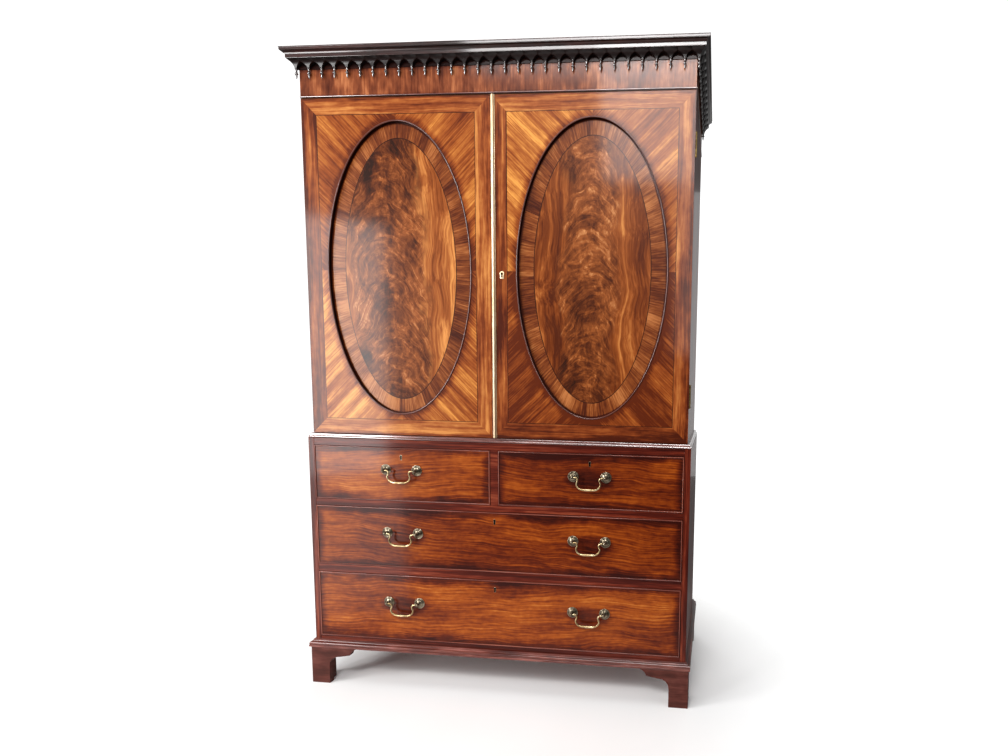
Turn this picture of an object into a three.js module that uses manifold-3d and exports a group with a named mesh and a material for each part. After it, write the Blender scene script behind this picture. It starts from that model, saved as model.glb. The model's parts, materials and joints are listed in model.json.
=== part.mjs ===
// A two-part mahogany linen press: a chest of four drawers on bracket feet, a cupboard with two
// oval-panelled doors, and a cornice whose cove is a row of pointed arches with turned pendants.
// Millimetres, +Z up, front towards -Y. Inside the press group y = 0 is the face of the doors.
import * as THREE from "three";
import { mergeVertices } from "three/addons/utils/BufferGeometryUtils.js";
import Module from "manifold-3d";

const wasm = await Module();
wasm.setup();

// Driving sizes of the whole press
const pressHeight = 2095;
const caseWidth = 1272; // over the two doors
const caseDepth = 530; // from the door faces to the back
const chestHeight = 864; // floor to the joint between chest and cupboard
const chestStep = 12; // how far the chest stands proud of the cupboard
const footHeight = 131;
const corniceHeight = 138; // frieze and moulding together
const corniceReach = 39.5; // how far the top fillet stands proud of the doors
const boardThickness = 20; // sides of both cases
const shelfThickness = 18; // boards that lie between the sides
const backThickness = 12;
const doorThickness = 22;

// Clearances
const seam = 0.3; // between pieces that are fixed face to face
const doorGap = 1.5; // round the doors
const drawerGap = 1.2; // round a drawer front
const pinClearance = 0.25; // round a hinge pin or a bail pin
const overrun = 3; // how far a cut runs past the piece it cuts
const weldTolerance = 0.0001;

// Chest: front openings, from the floor up
const bottomRailHeight = 38;
const lowerRailHeight = 27;
const upperRailHeight = 22.5;
const topRailHeight = 25;
const bottomDrawerShare = 0.3723; // of the height that the three rows of drawers share
const middleDrawerShare = 0.332;
const dividerWidth = 26;
const dividerDepth = 45;
const railDepth = 60;
const bottomRailDepth = 24;
const dustboardThickness = 10;
const guideThickness = 12;

// Drawers
const frontThickness = 20;
const beadWidth = 3.5;
const beadProud = 2.5;
const drawerWall = 10;
const drawerBottom = 6;
const drawerLength = 480;
const drawerTopDrop = 12; // the box sides stand this much lower than the front

// Handles
const handleHeightShare = 0.585; // of a drawer opening, up from its bottom
const postSpacing = 108;
const rosetteRadius = 18;
const postStandOff = 18; // from the drawer face to the bail's axis
const ballRadius = 5.5;
const bailDrop = 40;
const wireRadius = 2.7;
const bailPinRadius = 1.7;
const bailGripRadius = 4.1;

// Keyholes
const keyholeDrop = 34; // from the top of a drawer opening
const keyholeRadius = 3.2;
const keyholeSlotWidth = 4;
const keyholeHeight = 15;

// Doors
const astragalWidth = 13;
const astragalProud = 6.5;
const ovalSideMargin = 73; // between the oval's bead and a door's sides
const ovalEndMargin = 68.75; // between the oval's bead and a door's ends
const ovalOffsetShare = 0.25; // of the case width, from the middle of the press
const ovalBeadWidth = 5;
const ovalBeadProud = 2.5;
const panelSetBack = 9;
const panelThickness = 10;
const panelRebate = 8;
const doorKeyOffset = 27; // from the middle of the press
const doorKeyDrop = 12; // below the middle of the door
const ovalSides = 64;

// Door hinges
const hingeLength = 76;
const hingeInset = 150; // from a door's end to the middle of its hinge
const knuckleRadius = 4;
const hingePinRadius = 1.8;
const hingeAxisProud = 1; // the pin's axis beyond the side of the case
const leafThickness = 1.6;
const leafWidth = 15;
const roundSides = 16;

// Cupboard fittings
const trayCount = 3;
const trayWall = 12;
const trayBottom = 8;
const trayBackHeight = 95;
const trayFrontHeight = 50;
const traySetBack = 30; // behind the front edges of the case
const traySweep = 110; // over which the tray's sides come down to its front
const runnerSize = 16;

// Levels
const chestHalf = caseWidth / 2 + chestStep;
const caseHalf = caseWidth / 2;
const chestFront = -chestStep;
const bottomLevel = footHeight + bottomRailHeight;
const topRailLevel = chestHeight - topRailHeight;
const drawerRows = topRailLevel - bottomLevel - lowerRailHeight - upperRailHeight;
const lowerRailLevel = bottomLevel + bottomDrawerShare * drawerRows;
const middleLevel = lowerRailLevel + lowerRailHeight;
const upperRailLevel = middleLevel + middleDrawerShare * drawerRows;
const shortLevel = upperRailLevel + upperRailHeight;
const chestOpeningHalf = chestHalf - boardThickness;
const friezeLevel = pressHeight - corniceHeight;
const caseFront = doorThickness + doorGap;
const caseInnerHalf = caseHalf - boardThickness;
const backFace = caseDepth - backThickness;
const waistHeight = 14.5;
const doorBottom = chestHeight + waistHeight + doorGap;
const doorTop = friezeLevel - doorGap;
const ovalHalfWidth = ovalOffsetShare * caseWidth - ovalSideMargin;
const ovalHalfHeight = (doorTop - doorBottom) / 2 - ovalEndMargin;

// Finishes
const showWood = { color: 0x8f4a24, roughness: 0.32, metalness: 0 };
const flameWood = { color: 0xa9642f, roughness: 0.28, metalness: 0 };
const darkWood = { color: 0x4a2318, roughness: 0.38, metalness: 0 };
const innerWood = { color: 0xb08a5a, roughness: 0.65, metalness: 0 };
const brass = { color: 0xc9a65a, roughness: 0.28, metalness: 1 };

// Solids

function signedVolume(positions, faces) {
  const [a, b, c] = [new THREE.Vector3(), new THREE.Vector3(), new THREE.Vector3()];
  let sum = 0;
  for (let i = 0; i < faces.length; i += 3) {
    a.fromArray(positions, 3 * faces[i]);
    b.fromArray(positions, 3 * faces[i + 1]);
    c.fromArray(positions, 3 * faces[i + 2]);
    sum += a.dot(b.cross(c));
  }
  return sum / 6;
}

// A closed geometry as a solid whose faces point outwards.
function solidFrom(geometry) {
  geometry.deleteAttribute("normal");
  geometry.deleteAttribute("uv");
  const welded = mergeVertices(geometry, weldTolerance);
  const vertProperties = Float32Array.from(welded.getAttribute("position").array);
  const triVerts = Uint32Array.from(welded.index.array);
  if (signedVolume(vertProperties, triVerts) < 0) triVerts.reverse();
  return new wasm.Manifold(new wasm.Mesh({ numProp: 3, vertProperties, triVerts }));
}

function joined(solids) {
  return solids.reduce((whole, next) => whole.add(next));
}

function without(solid, cuts) {
  return cuts.reduce((rest, cut) => rest.subtract(cut), solid);
}

function block([x0, x1], [y0, y1], [z0, z1]) {
  const geometry = new THREE.BoxGeometry(x1 - x0, y1 - y0, z1 - z0);
  geometry.translate((x0 + x1) / 2, (y0 + y1) / 2, (z0 + z1) / 2);
  return solidFrom(geometry);
}

function extruded(outline, depth) {
  const shape = outline instanceof THREE.Shape ? outline : new THREE.Shape(outline);
  return new THREE.ExtrudeGeometry(shape, { depth, bevelEnabled: false, curveSegments: 3 });
}

// An outline in (y, z) carried along X.
function alongX(outline, [x0, x1]) {
  const [x, y, z] = [new THREE.Vector3(1, 0, 0), new THREE.Vector3(0, 1, 0), new THREE.Vector3(0, 0, 1)];
  const turned = new THREE.Matrix4().makeBasis(y, z, x);
  return solidFrom(extruded(outline, x1 - x0).applyMatrix4(turned).translate(x0, 0, 0));
}

// An outline in (x, z) carried along Y.
function alongY(outline, [y0, y1]) {
  return solidFrom(extruded(outline, y1 - y0).rotateX(Math.PI / 2).translate(0, y1, 0));
}

// An outline in (x, y) carried along Z.
function alongZ(outline, [z0, z1]) {
  return solidFrom(extruded(outline, z1 - z0).translate(0, 0, z0));
}

function points(pairs) {
  return pairs.map(([u, v]) => new THREE.Vector2(u, v));
}

// Rings of equal point counts joined in turn, closed on themselves or capped at both ends.
function lofted(rings, capOutline = null) {
  const count = rings[0].length;
  const spans = capOutline ? rings.length - 1 : rings.length;
  const faces = [];
  for (let i = 0; i < spans; i++) {
    const here = i * count;
    const next = ((i + 1) % rings.length) * count;
    for (let j = 0; j < count; j++) {
      const k = (j + 1) % count;
      faces.push(here + j, next + j, next + k, here + j, next + k, here + k);
    }
  }
  if (capOutline) {
    const far = (rings.length - 1) * count;
    const outward = THREE.ShapeUtils.isClockWise(capOutline);
    for (const cap of THREE.ShapeUtils.triangulateShape(capOutline, [])) {
      const corners = cap.map((corner) => capOutline[corner]);
      if (THREE.ShapeUtils.isClockWise(corners) !== outward) cap.reverse();
      const [a, b, c] = cap;
      faces.push(a, b, c, far + c, far + b, far + a);
    }
  }
  const positions = rings.flat().flatMap((point) => [...point]);
  const geometry = new THREE.BufferGeometry();
  geometry.setAttribute("position", new THREE.Float32BufferAttribute(positions, 3));
  geometry.setIndex(faces);
  return solidFrom(geometry);
}

// A moulding carried round the left side, the front and the right side of a case, mitred at
// the two corners. The profile is (proud of the case, level).
function returned(profile, half, front, back) {
  const rings = [
    profile.map(([proud, z]) => [-half - proud, back, z]),
    profile.map(([proud, z]) => [-half - proud, front - proud, z]),
    profile.map(([proud, z]) => [half + proud, front - proud, z]),
    profile.map(([proud, z]) => [half + proud, back, z]),
  ];
  return lofted(rings, points(profile));
}

// A bead mitred round the edge of a drawer front. The profile is (in from the edge, y).
function mitredFrame(profile, [x0, x1], [z0, z1]) {
  return lofted([
    profile.map(([inset, y]) => [x0 + inset, y, z0 + inset]),
    profile.map(([inset, y]) => [x1 - inset, y, z0 + inset]),
    profile.map(([inset, y]) => [x1 - inset, y, z1 - inset]),
    profile.map(([inset, y]) => [x0 + inset, y, z1 - inset]),
  ]);
}

function ovalPoints(x, z, halfWidth, halfHeight) {
  return Array.from({ length: ovalSides }, (_, i) => {
    const turn = (2 * Math.PI * i) / ovalSides;
    return new THREE.Vector2(x + halfWidth * Math.cos(turn), z + halfHeight * Math.sin(turn));
  });
}

// A bead carried round an oval. The profile is (in from the oval, y).
function ovalFrame(profile, x, z, halfWidth, halfHeight) {
  const rings = Array.from({ length: ovalSides }, (_, i) => {
    const turn = (2 * Math.PI * i) / ovalSides;
    return profile.map(([inset, y]) => [
      x + (halfWidth - inset) * Math.cos(turn),
      y,
      z + (halfHeight - inset) * Math.sin(turn),
    ]);
  });
  return lofted(rings);
}

function upright(radius, [z0, z1], x, y) {
  const geometry = new THREE.CylinderGeometry(radius, radius, z1 - z0, roundSides);
  return solidFrom(geometry.rotateX(Math.PI / 2).translate(x, y, (z0 + z1) / 2));
}

function piece(name, solid, finish) {
  const { vertProperties, triVerts } = solid.getMesh();
  const geometry = new THREE.BufferGeometry();
  geometry.setAttribute("position", new THREE.BufferAttribute(vertProperties, 3));
  geometry.setIndex(new THREE.BufferAttribute(triVerts, 1));
  const faceted = geometry.toNonIndexed();
  faceted.computeVertexNormals();
  const mesh = new THREE.Mesh(faceted, new THREE.MeshStandardMaterial(finish));
  mesh.name = name;
  return mesh;
}

// A profile given in shares of its reach and height, kept clear of what it is fixed to.
function profileOf(shares, reach, [z0, z1]) {
  return shares.map(([proud, up]) => [seam + proud * (reach - seam), z0 + up * (z1 - z0)]);
}

function sorted(a, b) {
  return a < b ? [a, b] : [b, a];
}

// Bracket feet
const footThickness = 20;
const footReach = 175;
const footLegWidth = 65;
const footProud = 11; // beyond the chest
const footBlock = 32; // glue block in the inner corner
const legShare = 0.46;
const shoulderShares = [0.6, 0.75];
const flatShares = [0.8, 0.8];
const cuspShares = [0.84, 0.97];

// One bracket from its outer edge inwards: a straight leg, a round spandrel, a flat, a cusp.
function bracketOutline() {
  const top = footHeight - seam;
  const shape = new THREE.Shape();
  shape.moveTo(0, 0);
  shape.lineTo(footLegWidth, 0);
  shape.lineTo(footLegWidth, legShare * top);
  const [shoulderX, shoulderZ] = [shoulderShares[0] * footReach, shoulderShares[1] * top];
  shape.quadraticCurveTo(footLegWidth, shoulderZ, shoulderX, shoulderZ);
  shape.lineTo(flatShares[0] * footReach, flatShares[1] * top);
  shape.quadraticCurveTo(cuspShares[0] * footReach, cuspShares[1] * top, footReach, top);
  shape.lineTo(0, top);
  return shape.extractPoints(4).shape;
}

// A foot at the left (-1) or right (1), front (-1) or back (1) corner of the chest.
function bracketFoot(name, sideways, endways) {
  const x = sideways * (chestHalf + footProud);
  const y = endways < 0 ? chestFront - footProud : caseDepth;
  const run = (from, sign, length) => sorted(from, from - sign * length);
  const shifted = (from, sign) =>
    bracketOutline().map((point) => new THREE.Vector2(from - sign * point.x, point.y));
  const front = alongY(shifted(x, sideways), run(y, endways, footThickness));
  const side = alongX(shifted(y, endways), run(x, sideways, footThickness));
  const glue = block(
    run(x, sideways, footThickness + footBlock),
    run(y, endways, footThickness + footBlock),
    [0, footHeight - seam],
  );
  return piece(name, joined([front, side, glue]), darkWood);
}

// Chest case

const plinthReach = 16;
const plinthHeight = 25;
const plinthShares = [
  [0, 0], [1, 0], [1, 0.28], [0.88, 0.34], [0.86, 0.5], [0.74, 0.6], [0.56, 0.66], [0.52, 0.78],
  [0.42, 0.84], [0.38, 0.96], [0.2, 1], [0, 1],
];
const waistReach = 12.3; // from the cupboard's sides and the doors
const waistTuck = 2; // how far the strip under the doors runs into the moulding
const guideHeight = 30;
const waistShares = [
  [0, 0], [1, 0], [1, 0.22], [0.95, 0.4], [0.84, 0.5], [0.7, 0.53], [0.66, 0.62], [0.64, 0.84],
  [0.52, 0.96], [0.36, 1], [0, 1],
];

function chestSide(name, sign) {
  const width = sorted(sign * chestOpeningHalf, sign * chestHalf);
  return piece(name, block(width, [chestFront, caseDepth], [footHeight, chestHeight]), showWood);
}

// A rail with a board behind it, seen in section and carried between the chest's sides.
function railAndBoard(rail, [y0, y1], board) {
  const far = backFace - seam;
  const outline = [
    [y0, rail[0]], [y1, rail[0]], [y1, board[0]], [far, board[0]], [far, board[1]], [y0, rail[1]],
  ];
  const between = [seam - chestOpeningHalf, chestOpeningHalf - seam];
  return alongX(points(outline), between);
}

function chestBoards() {
  const top = railAndBoard(
    [topRailLevel, chestHeight],
    [chestFront, chestFront + railDepth],
    [chestHeight - shelfThickness, chestHeight],
  );
  const bottom = railAndBoard(
    [footHeight, bottomLevel],
    [chestFront, chestFront + bottomRailDepth],
    [bottomLevel - shelfThickness, bottomLevel],
  );
  const lower = railAndBoard(
    [lowerRailLevel, middleLevel],
    [chestFront, chestFront + railDepth],
    [middleLevel - dustboardThickness, middleLevel],
  );
  const upper = railAndBoard(
    [upperRailLevel, shortLevel],
    [chestFront, chestFront + railDepth],
    [shortLevel - dustboardThickness, shortLevel],
  );
  const divider = block(
    [-dividerWidth / 2, dividerWidth / 2],
    [chestFront, chestFront + dividerDepth],
    [shortLevel - dustboardThickness / 2, topRailLevel - seam],
  );
  const guide = block(
    [-guideThickness / 2, guideThickness / 2],
    [chestFront + dividerDepth / 2, backFace - seam],
    [shortLevel - dustboardThickness / 2, shortLevel + guideHeight],
  );
  return [
    piece("chest_top_board", top, darkWood),
    piece("chest_bottom_board", bottom, darkWood),
    piece("lower_drawer_rail", lower, darkWood),
    piece("upper_drawer_rail", joined([upper, divider, guide]), darkWood),
  ];
}

function chestBack() {
  const width = [seam - chestOpeningHalf, chestOpeningHalf - seam];
  return piece("chest_back", block(width, [backFace, caseDepth], [footHeight, chestHeight]), innerWood);
}

function plinthMoulding() {
  const profile = profileOf(plinthShares, plinthReach, [footHeight, footHeight + plinthHeight]);
  return piece("plinth_moulding", returned(profile, chestHalf, chestFront, caseDepth), showWood);
}

// The moulding on the chest's ledge, which holds the cupboard in place.
function waistMoulding() {
  const [low, high] = [chestHeight + seam, chestHeight + waistHeight];
  const edge = returned(profileOf(waistShares, waistReach, [low, high]), caseHalf, 0, caseDepth);
  const across = [-caseHalf - waistTuck, caseHalf + waistTuck];
  const underDoors = block(across, [-waistTuck, caseFront - seam], [low + seam, high - seam]);
  return piece("waist_moulding", edge.add(underDoors), showWood);
}

function chest() {
  const group = new THREE.Group();
  group.add(
    bracketFoot("front_left_foot", -1, -1),
    bracketFoot("front_right_foot", 1, -1),
    bracketFoot("rear_left_foot", -1, 1),
    bracketFoot("rear_right_foot", 1, 1),
    chestSide("chest_left_side", -1),
    chestSide("chest_right_side", 1),
    ...chestBoards(),
    chestBack(),
    plinthMoulding(),
    waistMoulding(),
  );
  return group;
}

// Keyholes

// A round hole over a straight slot, centred on (x, z), widened all round by grow.
function keyholeOutline(x, z, grow) {
  const radius = keyholeRadius + grow;
  const slot = keyholeSlotWidth / 2 + grow;
  const eye = z + keyholeHeight / 2 - keyholeRadius;
  const foot = z - keyholeHeight / 2 - grow;
  const shape = new THREE.Shape();
  const turn = Math.asin(slot / radius);
  shape.moveTo(x - slot, foot);
  shape.lineTo(x + slot, foot);
  shape.absarc(x, eye, radius, turn - Math.PI / 2, 1.5 * Math.PI - turn, false);
  shape.closePath();
  return shape.extractPoints(5).shape;
}

// Drawers

// Each drawer's opening, and the places of its handles.
function drawerSpecs() {
  const half = chestOpeningHalf;
  const inner = dividerWidth / 2;
  const centre = (half + inner) / 2;
  const shortOpening = [shortLevel, topRailLevel];
  const middleOpening = [middleLevel, upperRailLevel];
  const bottomOpening = [bottomLevel, lowerRailLevel];
  return [
    { name: "short_left", width: [-half, -inner], levels: shortOpening, handles: { short_left: -centre } },
    { name: "short_right", width: [inner, half], levels: shortOpening, handles: { short_right: centre } },
    {
      name: "middle", width: [-half, half], levels: middleOpening,
      handles: { middle_left: -centre, middle_right: centre },
    },
    {
      name: "bottom", width: [-half, half], levels: bottomOpening,
      handles: { bottom_left: -centre, bottom_right: centre },
    },
  ];
}

// The cockbead's section, from the edge of the front inwards.
function beadProfile(width, proud, face, root) {
  const outer = face - 0.45 * proud;
  const crest = face - proud;
  return [
    [0, face + root], [0, outer], [0.28 * width, crest], [0.72 * width, crest], [width, outer],
    [width, face + root],
  ];
}

function drawerFront({ name, width: [x0, x1], levels: [z0, z1] }) {
  const across = [x0 + drawerGap, x1 - drawerGap];
  const up = [z0 + drawerGap, z1 - drawerGap];
  const depth = [chestFront, chestFront + frontThickness];
  const bead = mitredFrame(beadProfile(beadWidth, beadProud, chestFront, beadWidth), across, up);
  const keyhole = keyholeOutline((x0 + x1) / 2, z1 - keyholeDrop, 0);
  const cut = alongY(keyhole, [depth[0] - overrun, depth[1] + overrun]);
  return piece(name + "_drawer_front", block(across, depth, up).add(bead).subtract(cut), showWood);
}

function drawerBox({ name, width: [x0, x1], levels: [z0, z1] }) {
  const across = [x0 + drawerGap, x1 - drawerGap];
  const near = chestFront + frontThickness + seam;
  const far = near + drawerLength;
  const floor = z0 + seam;
  const top = z1 - drawerTopDrop;
  const hollow = block(
    [across[0] + drawerWall, across[1] - drawerWall],
    [near - overrun, far - drawerWall],
    [floor + drawerBottom, top + overrun],
  );
  const box = block(across, [near, far], [floor, top]).subtract(hollow);
  return piece(name + "_drawer_box", box, innerWood);
}

// Handles

const rosetteShares = [[0, 0], [1, 0], [1, 0.07], [0.8, 0.16], [0.64, 0.26], [0.22, 0.5]];
const ballTurnShares = [-0.26, 0, 0.26]; // of half a turn, from the ball's middle
const postSides = 12;
const ballHoleSides = 8;

// A turned post: a ringed rosette, a neck and a ball bored across for the bail.
function postSolid() {
  const middle = postStandOff - seam;
  const profile = rosetteShares.map(([r, d]) => new THREE.Vector2(r * rosetteRadius, d * middle));
  for (const share of ballTurnShares) {
    const [out, along] = [Math.cos(share * Math.PI), Math.sin(share * Math.PI)];
    profile.push(new THREE.Vector2(ballRadius * out, middle + ballRadius * along));
  }
  profile.push(new THREE.Vector2(0, middle + ballRadius));
  const turned = new THREE.LatheGeometry(profile, postSides).rotateX(Math.PI);
  const boreRadius = bailPinRadius + pinClearance;
  const bore = new THREE.CylinderGeometry(boreRadius, boreRadius, 4 * ballRadius, ballHoleSides);
  bore.rotateZ(Math.PI / 2).translate(0, -middle, 0);
  return solidFrom(turned).subtract(solidFrom(bore));
}

// Half of the bail's centre line: across as shares of half the post spacing, down of the drop.
const bailShares = [
  [0.8, 0], [0.71, 0.05], [0.655, 0.19], [0.69, 0.35], [0.725, 0.5], [0.705, 0.66], [0.61, 0.85],
  [0.43, 0.97], [0.2, 1],
];
const bailSteps = 20;
const bailSides = 6;
const gripShare = 0.3; // of the bail's length, over which it swells to its grip

function bailRing(centre, direction, radius) {
  const across = new THREE.Vector3(-direction.z, 0, direction.x);
  return Array.from({ length: bailSides }, (_, i) => {
    const turn = (2 * Math.PI * i) / bailSides;
    const [out, deep] = [radius * Math.cos(turn), radius * Math.sin(turn)];
    return [centre.x + out * across.x, deep, centre.z + out * across.z];
  });
}

// A swan-necked bail: two pins in the balls, a double-curved neck and a swelling grip.
function bailSolid() {
  const half = postSpacing / 2;
  const line = bailShares.map(([u, v]) => new THREE.Vector3(u * half, 0, -v * bailDrop));
  const other = line.map((point) => new THREE.Vector3(-point.x, 0, point.z)).reverse();
  const curve = new THREE.CatmullRomCurve3([...line, ...other], false, "centripetal");
  const shoulder = half - ballRadius - seam;
  const inward = new THREE.Vector3(-1, 0, 0);
  const pinEnds = [half + ballRadius / 2, shoulder].map((x) => new THREE.Vector3(x, 0, 0));
  const rings = pinEnds.map((point) => bailRing(point, inward, bailPinRadius));
  rings.push(bailRing(new THREE.Vector3(shoulder - seam, 0, 0), inward, wireRadius));
  for (let i = 0; i <= bailSteps; i++) {
    const along = i / bailSteps;
    const swell = THREE.MathUtils.smoothstep(gripShare - Math.abs(along - 0.5), 0, gripShare);
    const radius = THREE.MathUtils.lerp(wireRadius, bailGripRadius, swell);
    rings.push(bailRing(curve.getPointAt(along), curve.getTangentAt(along), radius));
  }
  const mirroredEnds = rings.slice(0, 3).map((ring) => ring.map(([x, y, z]) => [-x, y, z])).reverse();
  rings.push(...mirroredEnds);
  return lofted(rings, points(rings[0].map(([, y, z]) => [y, z])));
}

function handle(name, post, bail) {
  const group = new THREE.Group();
  for (const [side, sign] of [["left", -1], ["right", 1]]) {
    const mesh = piece(`${name}_handle_${side}_post`, post, brass);
    mesh.position.set((sign * postSpacing) / 2, postStandOff - seam, 0);
    group.add(mesh);
  }
  group.add(piece(`${name}_handle_bail`, bail, brass));
  return group;
}

function drawers() {
  const group = new THREE.Group();
  const [post, bail] = [postSolid(), bailSolid()];
  for (const spec of drawerSpecs()) {
    group.add(drawerFront(spec), drawerBox(spec));
    const [z0, z1] = spec.levels;
    for (const [name, x] of Object.entries(spec.handles)) {
      const fitted = handle(name, post, bail);
      fitted.position.set(x, chestFront - postStandOff, z0 + handleHeightShare * (z1 - z0));
      group.add(fitted);
    }
  }
  return group;
}

// Door hinges

const knuckleGap = 0.4;
const hingeAxisY = doorThickness + doorGap / 2;

function hingeLevels() {
  return [doorBottom + hingeInset, doorTop - hingeInset].map((z) => z - hingeLength / 2);
}

function hingeAxisX(sign) {
  return sign * (caseHalf + hingeAxisProud);
}

// The stretches of one hinge's three knuckles, from its lower end up.
function knuckleSpans(z) {
  const third = hingeLength / 3;
  return [0, 1, 2].map((i) => [z + i * third + knuckleGap / 2, z + (i + 1) * third - knuckleGap / 2]);
}

// The leaf on the case, with the middle knuckle and the pin.
function caseLeaf(name, sign, z) {
  const x = hingeAxisX(sign);
  const [low, mid, high] = knuckleSpans(z);
  const face = caseFront - leafThickness / 3;
  const width = sorted(sign * (caseHalf - leafWidth), x);
  const plate = block(width, [face, face + leafThickness], [z, z + hingeLength]);
  const relief = [low, high].map(([z0, z1]) =>
    upright(knuckleRadius + knuckleGap, [z0 - knuckleGap, z1 + knuckleGap], x, hingeAxisY),
  );
  const knuckle = upright(knuckleRadius, mid, x, hingeAxisY);
  const pin = upright(hingePinRadius, [z, z + hingeLength], x, hingeAxisY);
  return piece(name, joined([without(plate, relief), knuckle, pin]), brass);
}

// What a case side loses to its two leaves and their knuckles.
function leafMortises(sign) {
  const x = hingeAxisX(sign);
  const width = sorted(sign * (caseHalf - leafWidth - seam), sign * (caseHalf + overrun));
  const depth = [caseFront - overrun, caseFront + (2 * leafThickness) / 3 + seam];
  return hingeLevels().flatMap((z) => {
    const height = [z - seam, z + hingeLength + seam];
    return [block(width, depth, height), upright(knuckleRadius + knuckleGap, height, x, hingeAxisY)];
  });
}

// A door's own knuckles are fixed to it, bored for the pins, with room for the case's knuckle.
function withKnuckles(door, sign) {
  const x = hingeAxisX(sign);
  return hingeLevels().reduce((solid, z) => {
    const [low, mid, high] = knuckleSpans(z);
    const room = [mid[0] - knuckleGap, mid[1] + knuckleGap];
    const through = [z - overrun, z + hingeLength + overrun];
    const ends = [low, high].map((span) => upright(knuckleRadius, span, x, hingeAxisY));
    const bore = upright(hingePinRadius + pinClearance, through, x, hingeAxisY);
    const relief = upright(knuckleRadius + knuckleGap, room, x, hingeAxisY);
    return without(joined([solid, ...ends]), [bore, relief]);
  }, door);
}

// Doors

const ovalLevel = (doorBottom + doorTop) / 2;
const doorKeyLevel = ovalLevel - doorKeyDrop;
const escutcheonRim = 4.5;
const escutcheonThickness = 1.2;
const lockWidth = 42;
const lockHeight = 64;
const lockDepth = 12;
const lockSleeve = 1.2;
const astragalFillet = 1.6;
const astragalSides = 8;

function doorWidth(sign) {
  const meeting = -astragalWidth / 2;
  return sign < 0 ? [-caseHalf, meeting - doorGap] : [meeting, caseHalf];
}

// A veneered door with a bead round its oval opening, rebated behind for the panel.
function doorFrame(name, sign) {
  const x = sign * ovalOffsetShare * caseWidth;
  const [mouth, seat] = [0, panelRebate].map((rebate) =>
    ovalPoints(
      x,
      ovalLevel,
      ovalHalfWidth - ovalBeadWidth + rebate,
      ovalHalfHeight - ovalBeadWidth + rebate,
    ),
  );
  const board = block(doorWidth(sign), [0, doorThickness], [doorBottom, doorTop]);
  const cuts = [
    alongY(mouth, [-overrun, panelSetBack + overrun]),
    alongY(seat, [panelSetBack, doorThickness + overrun]),
  ];
  if (sign > 0) {
    const keyhole = keyholeOutline(doorKeyOffset, doorKeyLevel, lockSleeve + seam);
    cuts.push(alongY(keyhole, [-overrun, doorThickness + overrun]));
  }
  const profile = beadProfile(ovalBeadWidth, ovalBeadProud, 0, panelSetBack / 2);
  const bead = ovalFrame(profile, x, ovalLevel, ovalHalfWidth, ovalHalfHeight);
  const frame = without(board, cuts).add(bead);
  return piece(name, withKnuckles(frame, sign), showWood);
}

function ovalPanel(name, sign) {
  const grow = panelRebate - ovalBeadWidth - seam;
  const x = sign * ovalOffsetShare * caseWidth;
  const outline = ovalPoints(x, ovalLevel, ovalHalfWidth + grow, ovalHalfHeight + grow);
  const front = panelSetBack + seam;
  return piece(name, alongY(outline, [front, front + panelThickness]), flameWood);
}

// The brass strip on the right door's meeting edge: two fillets and a half round.
function meetingStrip() {
  const half = astragalWidth / 2;
  const round = half - astragalFillet;
  const rise = astragalProud - astragalFillet;
  const outline = [[half, -seam], [-half, -seam], [-half, -astragalFillet]];
  for (let i = 0; i <= astragalSides; i++) {
    const turn = (Math.PI * i) / astragalSides;
    outline.push([-round * Math.cos(turn), -astragalFillet - rise * Math.sin(turn)]);
  }
  outline.push([half, -astragalFillet]);
  const levels = [doorBottom + seam, doorTop - seam];
  return piece("meeting_strip", alongZ(points(outline), levels), brass);
}

// The right door's lock: a case behind the stile, a sleeve through it and the escutcheon.
function doorLock() {
  const around = (grow) => keyholeOutline(doorKeyOffset, doorKeyLevel, grow);
  const behind = doorThickness + seam;
  const face = -seam - escutcheonThickness;
  const plate = alongY(around(escutcheonRim), [face, -seam]);
  const sleeve = alongY(around(lockSleeve), [face / 2, behind + lockDepth / 2]);
  const box = block(
    [doorKeyOffset - lockWidth / 2, doorKeyOffset + lockWidth / 2],
    [behind, behind + lockDepth],
    [doorKeyLevel - lockHeight / 2, doorKeyLevel + lockHeight / 2],
  );
  const keyway = alongY(around(0), [face - overrun, behind + lockDepth / 2]);
  return piece("door_lock", joined([plate, sleeve, box]).subtract(keyway), brass);
}

function doors() {
  const group = new THREE.Group();
  group.add(
    doorFrame("left_door_frame", -1),
    ovalPanel("left_door_oval_panel", -1),
    doorFrame("right_door_frame", 1),
    ovalPanel("right_door_oval_panel", 1),
    meetingStrip(),
    doorLock(),
  );
  return group;
}

// Cupboard

const caseFloor = chestHeight + seam;
const shelfBottom = caseFloor + shelfThickness;
const shelfTop = friezeLevel - shelfThickness;

function trayLevels() {
  const pitch = (shelfTop - shelfBottom) / (trayCount + 1);
  return Array.from({ length: trayCount }, (_, i) => shelfBottom + pitch * (i + 1));
}

function cupboardSide(name, sign) {
  const width = sorted(sign * caseInnerHalf, sign * caseHalf);
  const board = block(width, [caseFront, caseDepth], [caseFloor, friezeLevel]);
  const runnerWidth = sorted(sign * (caseInnerHalf - runnerSize), sign * (caseInnerHalf + runnerSize / 4));
  const runners = trayLevels().map((z) =>
    block(runnerWidth, [caseFront + traySetBack, backFace - seam], [z - runnerSize, z]),
  );
  return piece(name, without(joined([board, ...runners]), leafMortises(sign)), showWood);
}

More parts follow.
